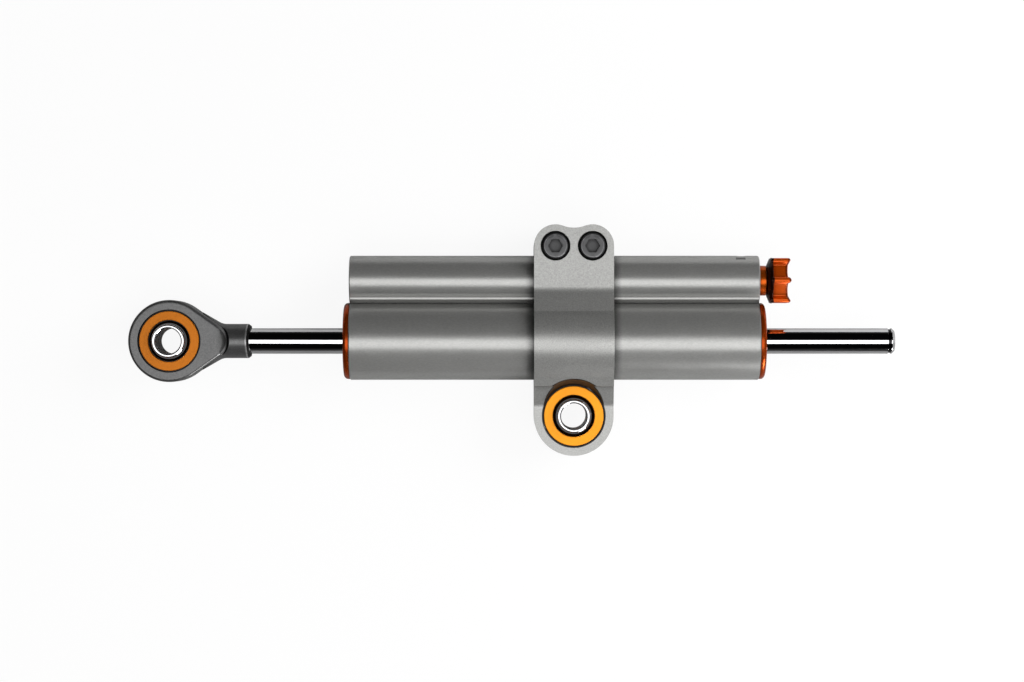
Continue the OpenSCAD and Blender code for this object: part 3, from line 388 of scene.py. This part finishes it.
# The rod's ring groove, dark with painted shade
ROD_GROOVE_X = 123.6
ROD_GROOVE_HALF = 0.6
ROD_GROOVE_SHADE = 0.03
SCREWS_X = (-7.2, 7.2)
SCREW_Y = 66.1
# The screw heads: a painted highlight on their rims, and painted shade in their sockets
SCREW_RIM = (4.05, 4.3)
SCREW_RIM_HIGHLIGHT_GAIN = 2.0
SCREW_KEY = (2.9, 3.0)
SCREW_KEY_SHADE = 0.85
# The counterbores round the screw heads, black with painted shade
COUNTERBORE_R = 5.78
COUNTERBORE_SHADE = 0.02
# The bearings' pockets, and the relief round the clamp's pocket: a cone in a round wall, dark with
# painted shade
POCKET_R = 12.15
POCKET_EDGE = 0.3
RELIEF_FROM = 7.25
RELIEF_SLOPE = math.tan(math.radians(27.5))
RELIEF_R = 14.3
RELIEF_SHADE = 0.12
# The eye's pocket wall, dark with painted shade
EYE_POCKET = (POCKET_R + 0.1, POCKET_R + 0.2)
EYE_POCKET_SHADE = 0.04
# The chamfer of the neck's end, along X from the eye's centre, with a painted highlight on its edge and
# painted shade on its face. It bows with the square of the height.
NECK_HIGHLIGHT = (29.85, 30.05)
NECK_HIGHLIGHT_GAIN = 2.8
NECK_DARK = (30.4, 30.55)
NECK_DARK_SHADE = 0.04
NECK_BOW = 0.0125
# The eye's nose: where the centre of its round end is, along X from the eye's centre. From there
# painted shade darkens the roll along X, a painted highlight brightens its rim between two radii, and
# both fade out at the last two.
NOSE_AT = 16.2
NOSE_DARK = (2.2, 5.4)
NOSE_DARKER_BY = 0.6
NOSE_HIGHLIGHT = (5.7, 6.0)
NOSE_HIGHLIGHT_BY = 0.9
NOSE_END = (6.5, 6.8)
# Height over the middle from which the nose gets its painted shade and highlight
NOSE_LOW = 4.0
# The dash of painted shade on the body, over a screw's recess
DASH_X = (63.3, 67.1)
DASH_Z = (3.9, 5.4)
DASH_SHADE = 0.3
# The knob: its front's radius and place, the slope of its dish, and the painted shade on its back
# flange
KNOB_R = 9.9
KNOB_FRONT = 84.65
DISH_SLOPE = 0.4
FLANGE_TO = 76.1
FLANGE_SOFT = 0.1
FLANGE_SLOPE = 0.2
FLANGE_SHADE = 0.03
# The painted shade along the edge of the knob's front: where it starts behind the face, and where it
# fades out
RIM_FROM = 0.12
RIM_FADES = (0.7, 1.1)
RIM_DARKER_BY = 0.72


def clamp_painted_shade(tree):
    """Painted shade in machined places: the screws' counterbores, and the bearing's pocket and relief.
    """
    counterbores = []
    for screw_x in SCREWS_X:
        x, y, _ = place_mm(tree, screw_x, SCREW_Y)
        outside = math_node(tree, "GREATER_THAN", hypotenuse(tree, x, y), COUNTERBORE_R)
        counterbores.append(choose(tree, outside, COUNTERBORE_SHADE, 1.0))
    x, y, z = place_mm(tree)
    over = math_node(tree, "SUBTRACT", math_node(tree, "ABSOLUTE", z), RELIEF_FROM)
    rise = math_node(tree, "MAXIMUM", over, 0.0)
    cone = math_node(tree, "MULTIPLY_ADD", rise, RELIEF_SLOPE, POCKET_R + POCKET_EDGE)
    wall = math_node(tree, "MINIMUM", cone, RELIEF_R + POCKET_EDGE)
    inside = math_node(tree, "LESS_THAN", hypotenuse(tree, x, y), wall)
    return product(tree, choose(tree, inside, 1.0, RELIEF_SHADE), *counterbores)


def screw_painted_light(tree):
    """The heads of the clamp's screws get a painted highlight along their rims, and painted shade in
    their sockets."""
    heads = []
    for screw_x in SCREWS_X:
        x, y, _ = place_mm(tree, screw_x, SCREW_Y)
        reach = hypotenuse(tree, x, y)
        near = math_node(tree, "LESS_THAN", reach, COUNTERBORE_R)
        rim = between(tree, reach, *SCREW_RIM, 1.0, SCREW_RIM_HIGHLIGHT_GAIN)
        socket = between(tree, reach, *SCREW_KEY, SCREW_KEY_SHADE, 1.0)
        heads.append(product(tree, near, rim, socket))
    return math_node(tree, "ADD", *heads)


def bore_painted_shade(bore_x, bore_y):
    """Painted shade that leaves the inside of a sleeve's bore dark."""
    def painted_light(tree):
        x, y, _ = place_mm(tree, bore_x, bore_y)
        outside = math_node(tree, "GREATER_THAN", hypotenuse(tree, x, y), SLEEVE_BORE_R)
        return choose(tree, outside, SLEEVE_BORE_SHADE, 1.0)
    return painted_light


def eye_painted_light(tree):
    """The eye gets painted shade in the pocket of its bearing, down its rolled nose and on the chamfer
    of its neck's end, and a painted highlight along the edges of the nose and the chamfer."""
    x, y, z = place_mm(tree, EYE_X_MM, ROD_Y_MM)
    pocket = between(tree, hypotenuse(tree, x, y), *EYE_POCKET, EYE_POCKET_SHADE, 1.0)
    along = math_node(tree, "MULTIPLY_ADD", product(tree, z, z), NECK_BOW, x)
    edge_highlight = between(tree, along, *NECK_HIGHLIGHT, 1.0, NECK_HIGHLIGHT_GAIN)
    chamfer = between(tree, along, *NECK_DARK, 1.0, NECK_DARK_SHADE)
    ahead = math_node(tree, "SUBTRACT", x, NOSE_AT)
    reach = hypotenuse(tree, ahead, y)
    rolled = between(tree, ahead, *NOSE_DARK, 0.0, 1.0)
    rim = between(tree, reach, *NOSE_HIGHLIGHT, 0.0, NOSE_DARKER_BY + NOSE_HIGHLIGHT_BY)
    change = math_node(tree, "MULTIPLY_ADD", rolled, -NOSE_DARKER_BY, product(tree, rim, rolled))
    on_face = math_node(tree, "GREATER_THAN", math_node(tree, "ABSOLUTE", z), NOSE_LOW)
    within = between(tree, reach, *NOSE_END, 1.0, 0.0)
    nose = math_node(tree, "MULTIPLY_ADD", product(tree, on_face, within), change, 1.0)
    return product(tree, nose, pocket, edge_highlight, chamfer)


def body_painted_shade(tree):
    """A dark dash of painted shade on the small lobe, over the click detent, where a screw's recess
    shows.
    """
    x, y, z = place_mm(tree)
    tests = [math_node(tree, "GREATER_THAN", y, GALLERY_Y_MM)]
    for value, (low, high) in ((x, DASH_X), (z, DASH_Z)):
        tests.append(math_node(tree, "GREATER_THAN", value, low))
        tests.append(math_node(tree, "LESS_THAN", value, high))
    return choose(tree, product(tree, *tests), 1.0, DASH_SHADE)


def knob_painted_shade(tree):
    """The knob gets painted shade on its back flange, and along the rounded edge of its front."""
    x, y, z = place_mm(tree, 0.0, GALLERY_Y_MM)
    reach = hypotenuse(tree, y, z)
    leaned = math_node(tree, "MULTIPLY_ADD", reach, -FLANGE_SLOPE, x)
    flange = between(
        tree, leaned, FLANGE_TO - FLANGE_SOFT, FLANGE_TO + FLANGE_SOFT, FLANGE_SHADE, 1.0,
    )
    front = math_node(tree, "MULTIPLY_ADD", reach, DISH_SLOPE, KNOB_FRONT - DISH_SLOPE * KNOB_R)
    behind = math_node(tree, "SUBTRACT", front, x)
    outside = math_node(tree, "GREATER_THAN", behind, RIM_FROM)
    near = between(tree, behind, *RIM_FADES, RIM_DARKER_BY, 0.0)
    rim = math_node(tree, "SUBTRACT", 1.0, product(tree, near, outside))
    return product(tree, flange, rim)


def rod_painted_shade(tree):
    """The rod gets painted shade in the ring groove near its right tip."""
    x, _, _ = place_mm(tree, ROD_GROOVE_X)
    outside = math_node(tree, "GREATER_THAN", math_node(tree, "ABSOLUTE", x), ROD_GROOVE_HALF)
    return choose(tree, outside, ROD_GROOVE_SHADE, 1.0)


# The stretch of noise that runs along X, and the colours that several steels share
ALONG_BODY = (0.25, 1, 1)
ALONG_ROD = (0.03, 1, 1)
BLACK_STEEL = (0.086, 0.086, 0.088)
BRIGHT_STEEL = (0.80, 0.80, 0.81)

# The material of each slot of the record
FINISHES = {
    "body_anodised": anodised(
        "body_anodised", (0.39, 0.39, 0.38), metallic=0.75, roughness=0.30, stretch=ALONG_BODY,
        corner=(3.5, 1.8), own=False, painted_light=body_painted_shade,
    ),
    "clamp_anodised": anodised(
        "clamp_anodised", (0.365, 0.365, 0.355), metallic=0.75, roughness=0.34, spread=0.2,
        corner=(3, 1.5), painted_light=clamp_painted_shade, spots=BLASTED_SPOTS,
    ),
    "eye_anodised": anodised(
        "eye_anodised", (0.135, 0.135, 0.135), metallic=0.8, roughness=0.34, spread=0.2,
        corner=(2, 1.2), painted_light=eye_painted_light, spots=BLASTED_SPOTS,
    ),
    "orange_anodised": anodised(
        "orange_anodised", (0.68, 0.088, 0.004), metallic=0.7, roughness=0.3, spread=0.05,
        corner=(4, 2.5),
    ),
    "ring_orange": anodised(
        "ring_orange", (0.9, 0.33, 0.012), metallic=0.6, roughness=0.45, spread=0.05,
        corner=(0.5, 1),
    ),
    "chrome": polished("chrome", (0.85, 0.85, 0.86), 0.04, stretch=ALONG_ROD, painted_light=rod_painted_shade),
    "bearing_steel": polished("bearing_steel", BRIGHT_STEEL, 0.06),
    "screw_steel": anodised(
        "screw_steel", BLACK_STEEL, metallic=0.7, roughness=0.34, corner=(1.5, 1.2),
    ),
    "spring_steel": polished("spring_steel", (0.6, 0.6, 0.6), 0.2),
    "valve_steel": polished("valve_steel", (0.65, 0.65, 0.64), 0.15),
    "bronze": anodised("bronze", (0.55, 0.36, 0.16), metallic=0.9, roughness=0.4),
    "seal_rubber": dull("seal_rubber", (0.03, 0.03, 0.03), 0.6),
    "piston_plastic": dull("piston_plastic", (0.08, 0.07, 0.065), 0.5),
}

# The material of each node that looks unlike the rest of its slot
EYE_RING = anodised(
    "eye_ring_orange", (0.50, 0.145, 0.004), metallic=0.6, roughness=0.45, spread=0.05,
    corner=(0.5, 1),
)
DARK_RACE = anodised("dark_race", (0.02, 0.02, 0.02), metallic=0.5, roughness=0.3)
DARK_BALL = polished("dark_ball", (0.05, 0.05, 0.052), 0.08)
HEAD = anodised(
    "head_orange", (0.38, 0.05, 0.002), metallic=0.8, roughness=0.26, spread=0.05, corner=(2, 2),
)
LOOKS = {
    "eye_ring_front": EYE_RING,
    "eye_ring_back": EYE_RING,
    "eye_race": DARK_RACE,
    "clamp_race": DARK_RACE,
    "eye_ball": DARK_BALL,
    "clamp_ball": DARK_BALL,
    "eye_sleeve": polished(
        "eye_sleeve_steel", BRIGHT_STEEL, 0.06, painted_light=bore_painted_shade(EYE_X_MM, ROD_Y_MM),
    ),
    "clamp_sleeve": polished("clamp_sleeve_steel", BRIGHT_STEEL, 0.06, painted_light=bore_painted_shade(0, 0)),
    "seal_head_left": HEAD,
    "seal_head_right": HEAD,
    "adjuster_housing": anodised(
        "housing_orange", (0.58, 0.095, 0.003), metallic=0.8, roughness=0.27, spread=0.05,
        corner=(1.5, 1.2),
    ),
    "adjuster_knob": anodised(
        "knob_orange", (0.60, 0.08, 0.003), metallic=0.68, roughness=0.25, spread=0.05,
        corner=(1.5, 1.2), painted_light=knob_painted_shade,
    ),
    "clamp_screws": anodised(
        "clamp_screw_steel", BLACK_STEEL, metallic=0.7, roughness=0.34, corner=(1.5, 1.2),
        painted_light=screw_painted_light,
    ),
}

# Width of the edge rounding on each node whose edges show, in millimetres
EDGES = {
    "body_extrusion": 0.12,
    "seal_head_left": 0.15,
    "seal_head_right": 0.15,
    "piston_rod": 0.08,
    "clamp_bracket": 0.4,
    "clamp_screws": 0.45,
    "adjuster_housing": 0.12,
    "eye_sleeve": 0.1,
    "clamp_sleeve": 0.1,
    "eye_ring_front": 0.06,
    "eye_ring_back": 0.06,
    "clamp_ring_front": 0.06,
    "clamp_ring_back": 0.06,
}
EDGE_STEPS = 2
# The turn between faces from which an edge is rounded, and how near points are joined before
EDGE_ANGLE = math.radians(28)
WELD_DISTANCE = 0.002
# The turn between a mesh piece's faces from which their edge looks sharp
SHARP_ANGLE = math.radians(30)


def round_edges(node, width):
    """Joins the faces of a CAD node's mesh, and rounds its sharp edges."""
    weld = node.modifiers.new("weld", "WELD")
    weld.merge_threshold = WELD_DISTANCE * MM
    bevel = node.modifiers.new("bevel", "BEVEL")
    bevel.width = width * MM
    bevel.segments = EDGE_STEPS
    bevel.limit_method = "ANGLE"
    bevel.angle_limit = EDGE_ANGLE
    bevel.harden_normals = False
    bevel.use_clamp_overlap = True
    normals = node.modifiers.new("normals", "WEIGHTED_NORMAL")
    normals.keep_sharp = True


def mesh_piece(name, shell, body, material, replaced):
    """A smooth-shaded piece of a body from a shell in millimetres, in place of CAD nodes."""
    mesh = bpy.data.meshes.new(name)
    mesh.from_pydata([tuple(c * MM for c in p) for p in shell.points], [], shell.faces)
    mesh.validate()
    piece = bpy.data.objects.new(name, mesh)
    bpy.context.scene.collection.objects.link(piece)
    mesh.shade_smooth()
    mesh.set_sharp_from_angle(angle=SHARP_ANGLE)
    mesh.materials.append(material)
    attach(piece, body)
    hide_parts(*replaced)


class Shell:
    """Points and faces of a piece, built from rings of the same number of points."""

    def __init__(self):
        self.points = []
        self.faces = []

    def ring(self, points):
        start = len(self.points)
        self.points.extend(points)
        return list(range(start, len(self.points)))

    def join(self, first, second):
        count = len(first)
        for i in range(count):
            j = (i + 1) % count
            self.faces.append((first[i], first[j], second[j], second[i]))

    def tube(self, rings, capped=True):
        """Joins rings in turn. The rings run anticlockwise as seen from where the tube goes."""
        indices = [self.ring(r) for r in rings]
        for first, second in zip(indices, indices[1:]):
            self.join(first, second)
        if capped:
            self.faces.append(tuple(reversed(indices[0])))
            self.faces.append(tuple(indices[-1]))
        return indices


def turned_ring(x, radius, axis_y, count):
    """A circle round the line along X at y = axis_y."""
    return [
        (x, axis_y + radius * math.cos(TAU * i / count), radius * math.sin(TAU * i / count))
        for i in range(count)
    ]


# Steps of each rounded corner of a profile, and the share of a side that it takes at most
CORNER_STEPS = 4
CORNER_SHARE = 0.45


def rounded(profile, radius):
    """An open profile of points (x, r), with each inner corner rounded to a radius or less."""
    result = [profile[0]]
    for before, corner, after in zip(profile, profile[1:], profile[2:]):
        here = Vector(corner)
        back = Vector(before) - here
        on = Vector(after) - here
        half = back.angle(on) / 2
        cut = min(radius / math.tan(half), back.length * CORNER_SHARE, on.length * CORNER_SHARE)
        start = here + back.normalized() * cut
        end = here + on.normalized() * cut
        for k in range(CORNER_STEPS + 1):
            t = k / CORNER_STEPS
            result.append(tuple(start * (1 - t) ** 2 + here * 2 * t * (1 - t) + end * t ** 2))
    result.append(profile[-1])
    return result


# The eye's plate, in millimetres: its radius, half its thickness and its edge rounding
EYE_R = 16
EYE_HALF = 7.5
EYE_RIM = 1.2
# A narrow ring inside the rounding keeps the face flat
FACE_INSET = 0.25
# The chamfer at the mouths of the pocket
POCKET_LEAD = 0.15
# The neck: its radius, its end with a chamfer, the bore for the rod and how deep that shows
NECK_R = 6.7
NECK_END = 31.6
NECK_CHAMFER = 1.1
NECK_CHAMFER_RATIO = 0.8
NECK_ROUND = 0.35
SHANK_BORE_R = 5.2
SHANK_BORE_SHOWN = 3
# The dip in the front and back of the neck's end
NECK_DIP = 0.8
NECK_DIP_FROM = 28
# The nose of the eye's faces: a round end that rolls down onto the neck, over a scoop
NOSE_R = 6.6
NOSE_DROP = 3.4
SCOOP = (6.45, 7.2)
SCOOP_DIP = 1.9
NOSE_TANGENT = math.acos((EYE_R - NOSE_R) / NOSE_AT)
ROLL_FROM = NOSE_AT + (NOSE_R - EYE_RIM) * math.cos(NOSE_TANGENT)
ROLL_RUN = NOSE_AT + NOSE_R - ROLL_FROM
# The eye's flanks: a straight taper, and a fillet into the neck
TAPER = math.radians(30)
FLANK_FILLET = 6
# Where the flanks start, the run in which their height grows, and the share that it starts with
FLANK_FROM = 12.5
FLANK_GROWS = 5
FLANK_START = 0.1
# Steps of the nose, of each straight side, of the round part and of the edge rounding
NOSE_STEPS = 48
SIDE_STEPS = 12
ROUND_STEPS = 96
RIM_STEPS = 8
# Sections of the flank: how far apart they are, how many the end leaves out, and their points
STATION_EVERY = 0.2
STATIONS_LEFT_OUT = 8
SECTION_POINTS = 96


def nose_share(angle):
    """How far the face's edge is rolled down at an angle of the nose. The roll begins on a straight
    line across the face."""
    if abs(angle) >= NOSE_TANGENT:
        return 0
    run = NOSE_R - (ROLL_FROM - NOSE_AT) / math.cos(angle)
    return (run - EYE_RIM) / (ROLL_RUN - EYE_RIM)


def eye_outline():
    """Points of the eye's face as (x, y, normal's angle, share of the nose's rolled edge)."""
    points = []
    for i in range(NOSE_STEPS):
        angle = NOSE_TANGENT * (2 * i / NOSE_STEPS - 1)
        points.append((
            NOSE_AT + NOSE_R * math.cos(angle), NOSE_R * math.sin(angle), angle,
            nose_share(angle),
        ))
    cos, sin = math.cos(NOSE_TANGENT), math.sin(NOSE_TANGENT)
    side = []
    for i in range(SIDE_STEPS):
        t = i / SIDE_STEPS
        x = (NOSE_AT + NOSE_R * cos) * (1 - t) + EYE_R * cos * t
        y = NOSE_R * sin * (1 - t) + EYE_R * sin * t
        side.append((x, y, NOSE_TANGENT, 0))
    points.extend(side)
    for i in range(ROUND_STEPS + 1):
        angle = NOSE_TANGENT + (TAU - 2 * NOSE_TANGENT) * i / ROUND_STEPS
        points.append((EYE_R * math.cos(angle), EYE_R * math.sin(angle), angle, 0))
    for x, y, angle, share in reversed(side[1:]):
        points.append((x, -y, -angle, share))
    return points


def flank_r(x):
    """Half the eye's width at x from its centre, right of the round part."""
    corner = (EYE_R / math.cos(TAPER) - NECK_R) / math.tan(TAPER)
    run = FLANK_FILLET * math.tan(TAPER / 2)
    if x > corner + run:
        return NECK_R
    if x > corner - run * math.cos(TAPER):
        off = corner + run - x
        return NECK_R + FLANK_FILLET - math.sqrt(FLANK_FILLET ** 2 - off ** 2)
    return EYE_R / math.cos(TAPER) - x * math.tan(TAPER)


def flank_top(x, y, radius):
    """Half the flank's height: it grows out of the eye's side, dips under the rolled nose, and
    steps up to the neck round it."""
    reach = math.hypot(x - NOSE_AT, y)
    rise = min(1, max(0, (reach - SCOOP[0]) / (SCOOP[1] - SCOOP[0])))
    smooth = rise * rise * (3 - 2 * rise)
    dip = SCOOP_DIP * (1 - smooth) * nose_share(math.atan2(y, x - NOSE_AT))
    grown = min(1, FLANK_START + (x - FLANK_FROM) / FLANK_GROWS)
    return min(radius, NECK_R - dip) * grown


def eye_plate(shell):
    """The eye's plate, with rounded edges and the bearing's pocket through it."""
    outline = eye_outline()

    def at(x, y, z):
        return (EYE_X_MM + x, ROD_Y_MM + y, z)

    def edge(step, side, more=0.0):
        turn = math.pi / 2 * step / RIM_STEPS
        ring = []
        for x, y, angle, share in outline:
            run = EYE_RIM + share * (ROLL_RUN - EYE_RIM)
            drop = EYE_RIM + share * (NOSE_DROP - EYE_RIM)
            inward = run * (1 - math.cos(turn)) + more
            z = EYE_HALF - drop * (1 - math.sin(turn))
            ring.append(at(x - inward * math.cos(angle), y - inward * math.sin(angle), side * z))
        return ring

    def hole(radius, z):
        ring = []
        for x, y, _, _ in outline:
            reach = math.hypot(x, y)
            ring.append(at(x / reach * radius, y / reach * radius, z))
        return ring

    rings = [edge(RIM_STEPS, -1, FACE_INSET)]
    rings.extend(edge(k, -1) for k in range(RIM_STEPS, -1, -1))
    rings.extend(edge(k, 1) for k in range(RIM_STEPS + 1))
    rings.append(edge(RIM_STEPS, 1, FACE_INSET))
    rings.append(hole(POCKET_R + POCKET_LEAD, EYE_HALF))
    rings.append(hole(POCKET_R, EYE_HALF - POCKET_LEAD))
    rings.append(hole(POCKET_R, POCKET_LEAD - EYE_HALF))
    rings.append(hole(POCKET_R + POCKET_LEAD, -EYE_HALF))
    indices = shell.tube(rings, capped=False)
    shell.join(indices[-1], indices[0])


def eye_flank(shell):
    """The flared neck: oval sections no thicker than the neck, with a dip in its end's front and
    back."""
    count = int((NECK_END - FLANK_FROM) / STATION_EVERY) - STATIONS_LEFT_OUT
    stations = [FLANK_FROM + STATION_EVERY * k for k in range(count)]
    end = rounded([
        (stations[-1], NECK_R), (NECK_END - NECK_CHAMFER, NECK_R),
        (NECK_END, NECK_R - NECK_CHAMFER * NECK_CHAMFER_RATIO), (NECK_END, SHANK_BORE_R),
    ], NECK_ROUND)
    profile = [(x, flank_r(x)) for x in stations] + end[1:]
    profile.append((NECK_END - SHANK_BORE_SHOWN, SHANK_BORE_R))
    rings = []
    for x, radius in profile:
        dip = NECK_DIP * max(0, (x - NECK_DIP_FROM) / (NECK_END - NECK_DIP_FROM))
        ring = []
        for i in range(SECTION_POINTS):
            angle = TAU * i / SECTION_POINTS
            along = x - dip * math.sin(angle) ** 2
            y = radius * math.cos(angle)
            z = flank_top(x, y, radius) * math.sin(angle)
            ring.append((EYE_X_MM + along, ROD_Y_MM + y, z))
        rings.append(ring)
    shell.tube(rings)


def make_eye(material):
    shell = Shell()
    eye_plate(shell)
    eye_flank(shell)
    mesh_piece("eye_casting", shell, "rod", material, ["rod_eye"])


# The knob's outline, in millimetres: round tips between flats, joined by fillets
KNOB_LOBES = 6
KNOB_TIP_R = 1.2
KNOB_TIP_AT = 8.7
KNOB_FLAT = 6.9
KNOB_FILLET = 0.7
# Steps of half a tip, of a fillet and of half a flat
TIP_STEPS = 9
FILLET_STEPS = 6
FLAT_STEPS = 3
# Where the flutes start, the rounding of their front edge, and its steps
FLUTES_FROM = 77.0
KNOB_ROUND = 0.8
KNOB_ROUND_STEPS = 4
# The dish in the front, with a bevelled edge, and the screw's seat in it
DISH_R = 4.6
DISH_EDGE = 0.3
DISH_EDGE_DEEP = 0.12
SEAT_R = 2.9
SEAT_X = 80.93
SEAT_EDGE = 0.2
SEAT_EDGE_HIGH = 0.15
# The round back flange as (x, radius), the rounding of its corners, and its points
BACK_PROFILE = (
    (75.42, 0.5), (75.42, 5.6), (76.6, 8.4), (77.5, 9.05), (77.8, 8.7), (77.8, 5),
)
BACK_ROUND = 0.3
BACK_POINTS = 120


def unit(angle):
    return Vector((math.cos(angle), math.sin(angle)))


def turned(x, y, turn):
    """A point turned about the origin."""
    return x * math.cos(turn) - y * math.sin(turn), x * math.sin(turn) + y * math.cos(turn)


def knob_outline():
    """Points of the knob's outline as (z, y, normal's angle): round tips between flats."""
    half = math.pi / KNOB_LOBES
    normal = unit(half)
    along = Vector((-normal.y, normal.x))
    tip = Vector((KNOB_TIP_AT, 0))
    up = KNOB_FLAT + KNOB_FILLET - tip.dot(normal)
    out = math.sqrt((KNOB_TIP_R + KNOB_FILLET) ** 2 - up ** 2)
    centre = (KNOB_FLAT + KNOB_FILLET) * normal + (tip.dot(along) + out) * along
    tip_turn = math.atan2(centre.y - tip.y, centre.x - tip.x)
    quarter = []
    for k in range(TIP_STEPS):
        angle = tip_turn * k / TIP_STEPS
        quarter.append((tip + KNOB_TIP_R * unit(angle), angle))
    for k in range(FILLET_STEPS + 1):
        angle = tip_turn + (half - tip_turn) * k / FILLET_STEPS
        quarter.append((centre - KNOB_FILLET * unit(angle), angle))
    flat_end = centre - KNOB_FILLET * normal
    middle = KNOB_FLAT * normal
    for k in range(1, FLAT_STEPS):
        quarter.append((flat_end.lerp(middle, k / FLAT_STEPS), half))
    quarter.append((middle, half))
    lobe = [(p.x, p.y, a) for p, a in quarter]
    mirrored = [(*turned(x, -y, 2 * half), 2 * half - a) for x, y, a in reversed(lobe[1:-1])]
    points = []
    for k in range(KNOB_LOBES):
        turn = 2 * half * k
        points.extend((*turned(x, y, turn), a + turn) for x, y, a in lobe + mirrored)
    return points


def make_knob(material):
    """The knob: flutes with a dished front, and a round flange behind them."""
    shell = Shell()
    outline = knob_outline()

    def place(x, y, z):
        return (x, GALLERY_Y_MM + y, z)

    def front_x(reach):
        return KNOB_FRONT - DISH_SLOPE * (KNOB_R - reach)

    def flute_ring(turn):
        """The outline at the front edge's rounding, turned from the side (0) to the face."""
        inward = KNOB_ROUND * (1 - math.cos(turn))
        behind = KNOB_ROUND * (1 - math.sin(turn))
        ring = []
        for z, y, a in outline:
            x = front_x(math.hypot(z, y)) - behind
            ring.append(place(x, y - inward * math.sin(a), z - inward * math.cos(a)))
        return ring

    def round_ring(radius, x):
        ring = []
        for z, y, _ in outline:
            reach = math.hypot(z, y)
            ring.append(place(x, y / reach * radius, z / reach * radius))
        return ring

    rings = [[place(FLUTES_FROM, y, z) for z, y, _ in outline]]
    for k in range(KNOB_ROUND_STEPS + 1):
        rings.append(flute_ring(math.pi / 2 * k / KNOB_ROUND_STEPS))
    rings.append(round_ring(DISH_R + DISH_EDGE, front_x(DISH_R + DISH_EDGE)))
    rings.append(round_ring(DISH_R, front_x(DISH_R) - DISH_EDGE_DEEP))
    rings.append(round_ring(SEAT_R + SEAT_EDGE, SEAT_X + SEAT_EDGE_HIGH))
    rings.append(round_ring(SEAT_R, SEAT_X))
    shell.tube([list(reversed(r)) for r in rings])
    back = rounded(BACK_PROFILE, BACK_ROUND)
    shell.tube([turned_ring(x, r, GALLERY_Y_MM, BACK_POINTS) for x, r in back])
    mesh_piece("knob_body", shell, "adjuster", material, ["adjuster_knob"])


def dress_nodes():
    """Gives each CAD node its material and its rounded edges."""
    slots = {s["node"]: s["material_slot"] for s in frame["record"]["subparts"]}
    for name, node in frame["nodes"].items():
        node.data.materials.clear()
        node.data.materials.append(LOOKS.get(name, FINISHES[slots[name]]))
        node.data.shade_smooth()
        if name in EDGES:
            round_edges(node, EDGES[name])


make_camera()
make_world()
for light in LIGHTS:
    softbox(*light)
make_floor()
dress_nodes()
make_eye(FINISHES["eye_anodised"])
make_knob(LOOKS["adjuster_knob"])
bpy.context.scene.view_settings.view_transform = "Standard"
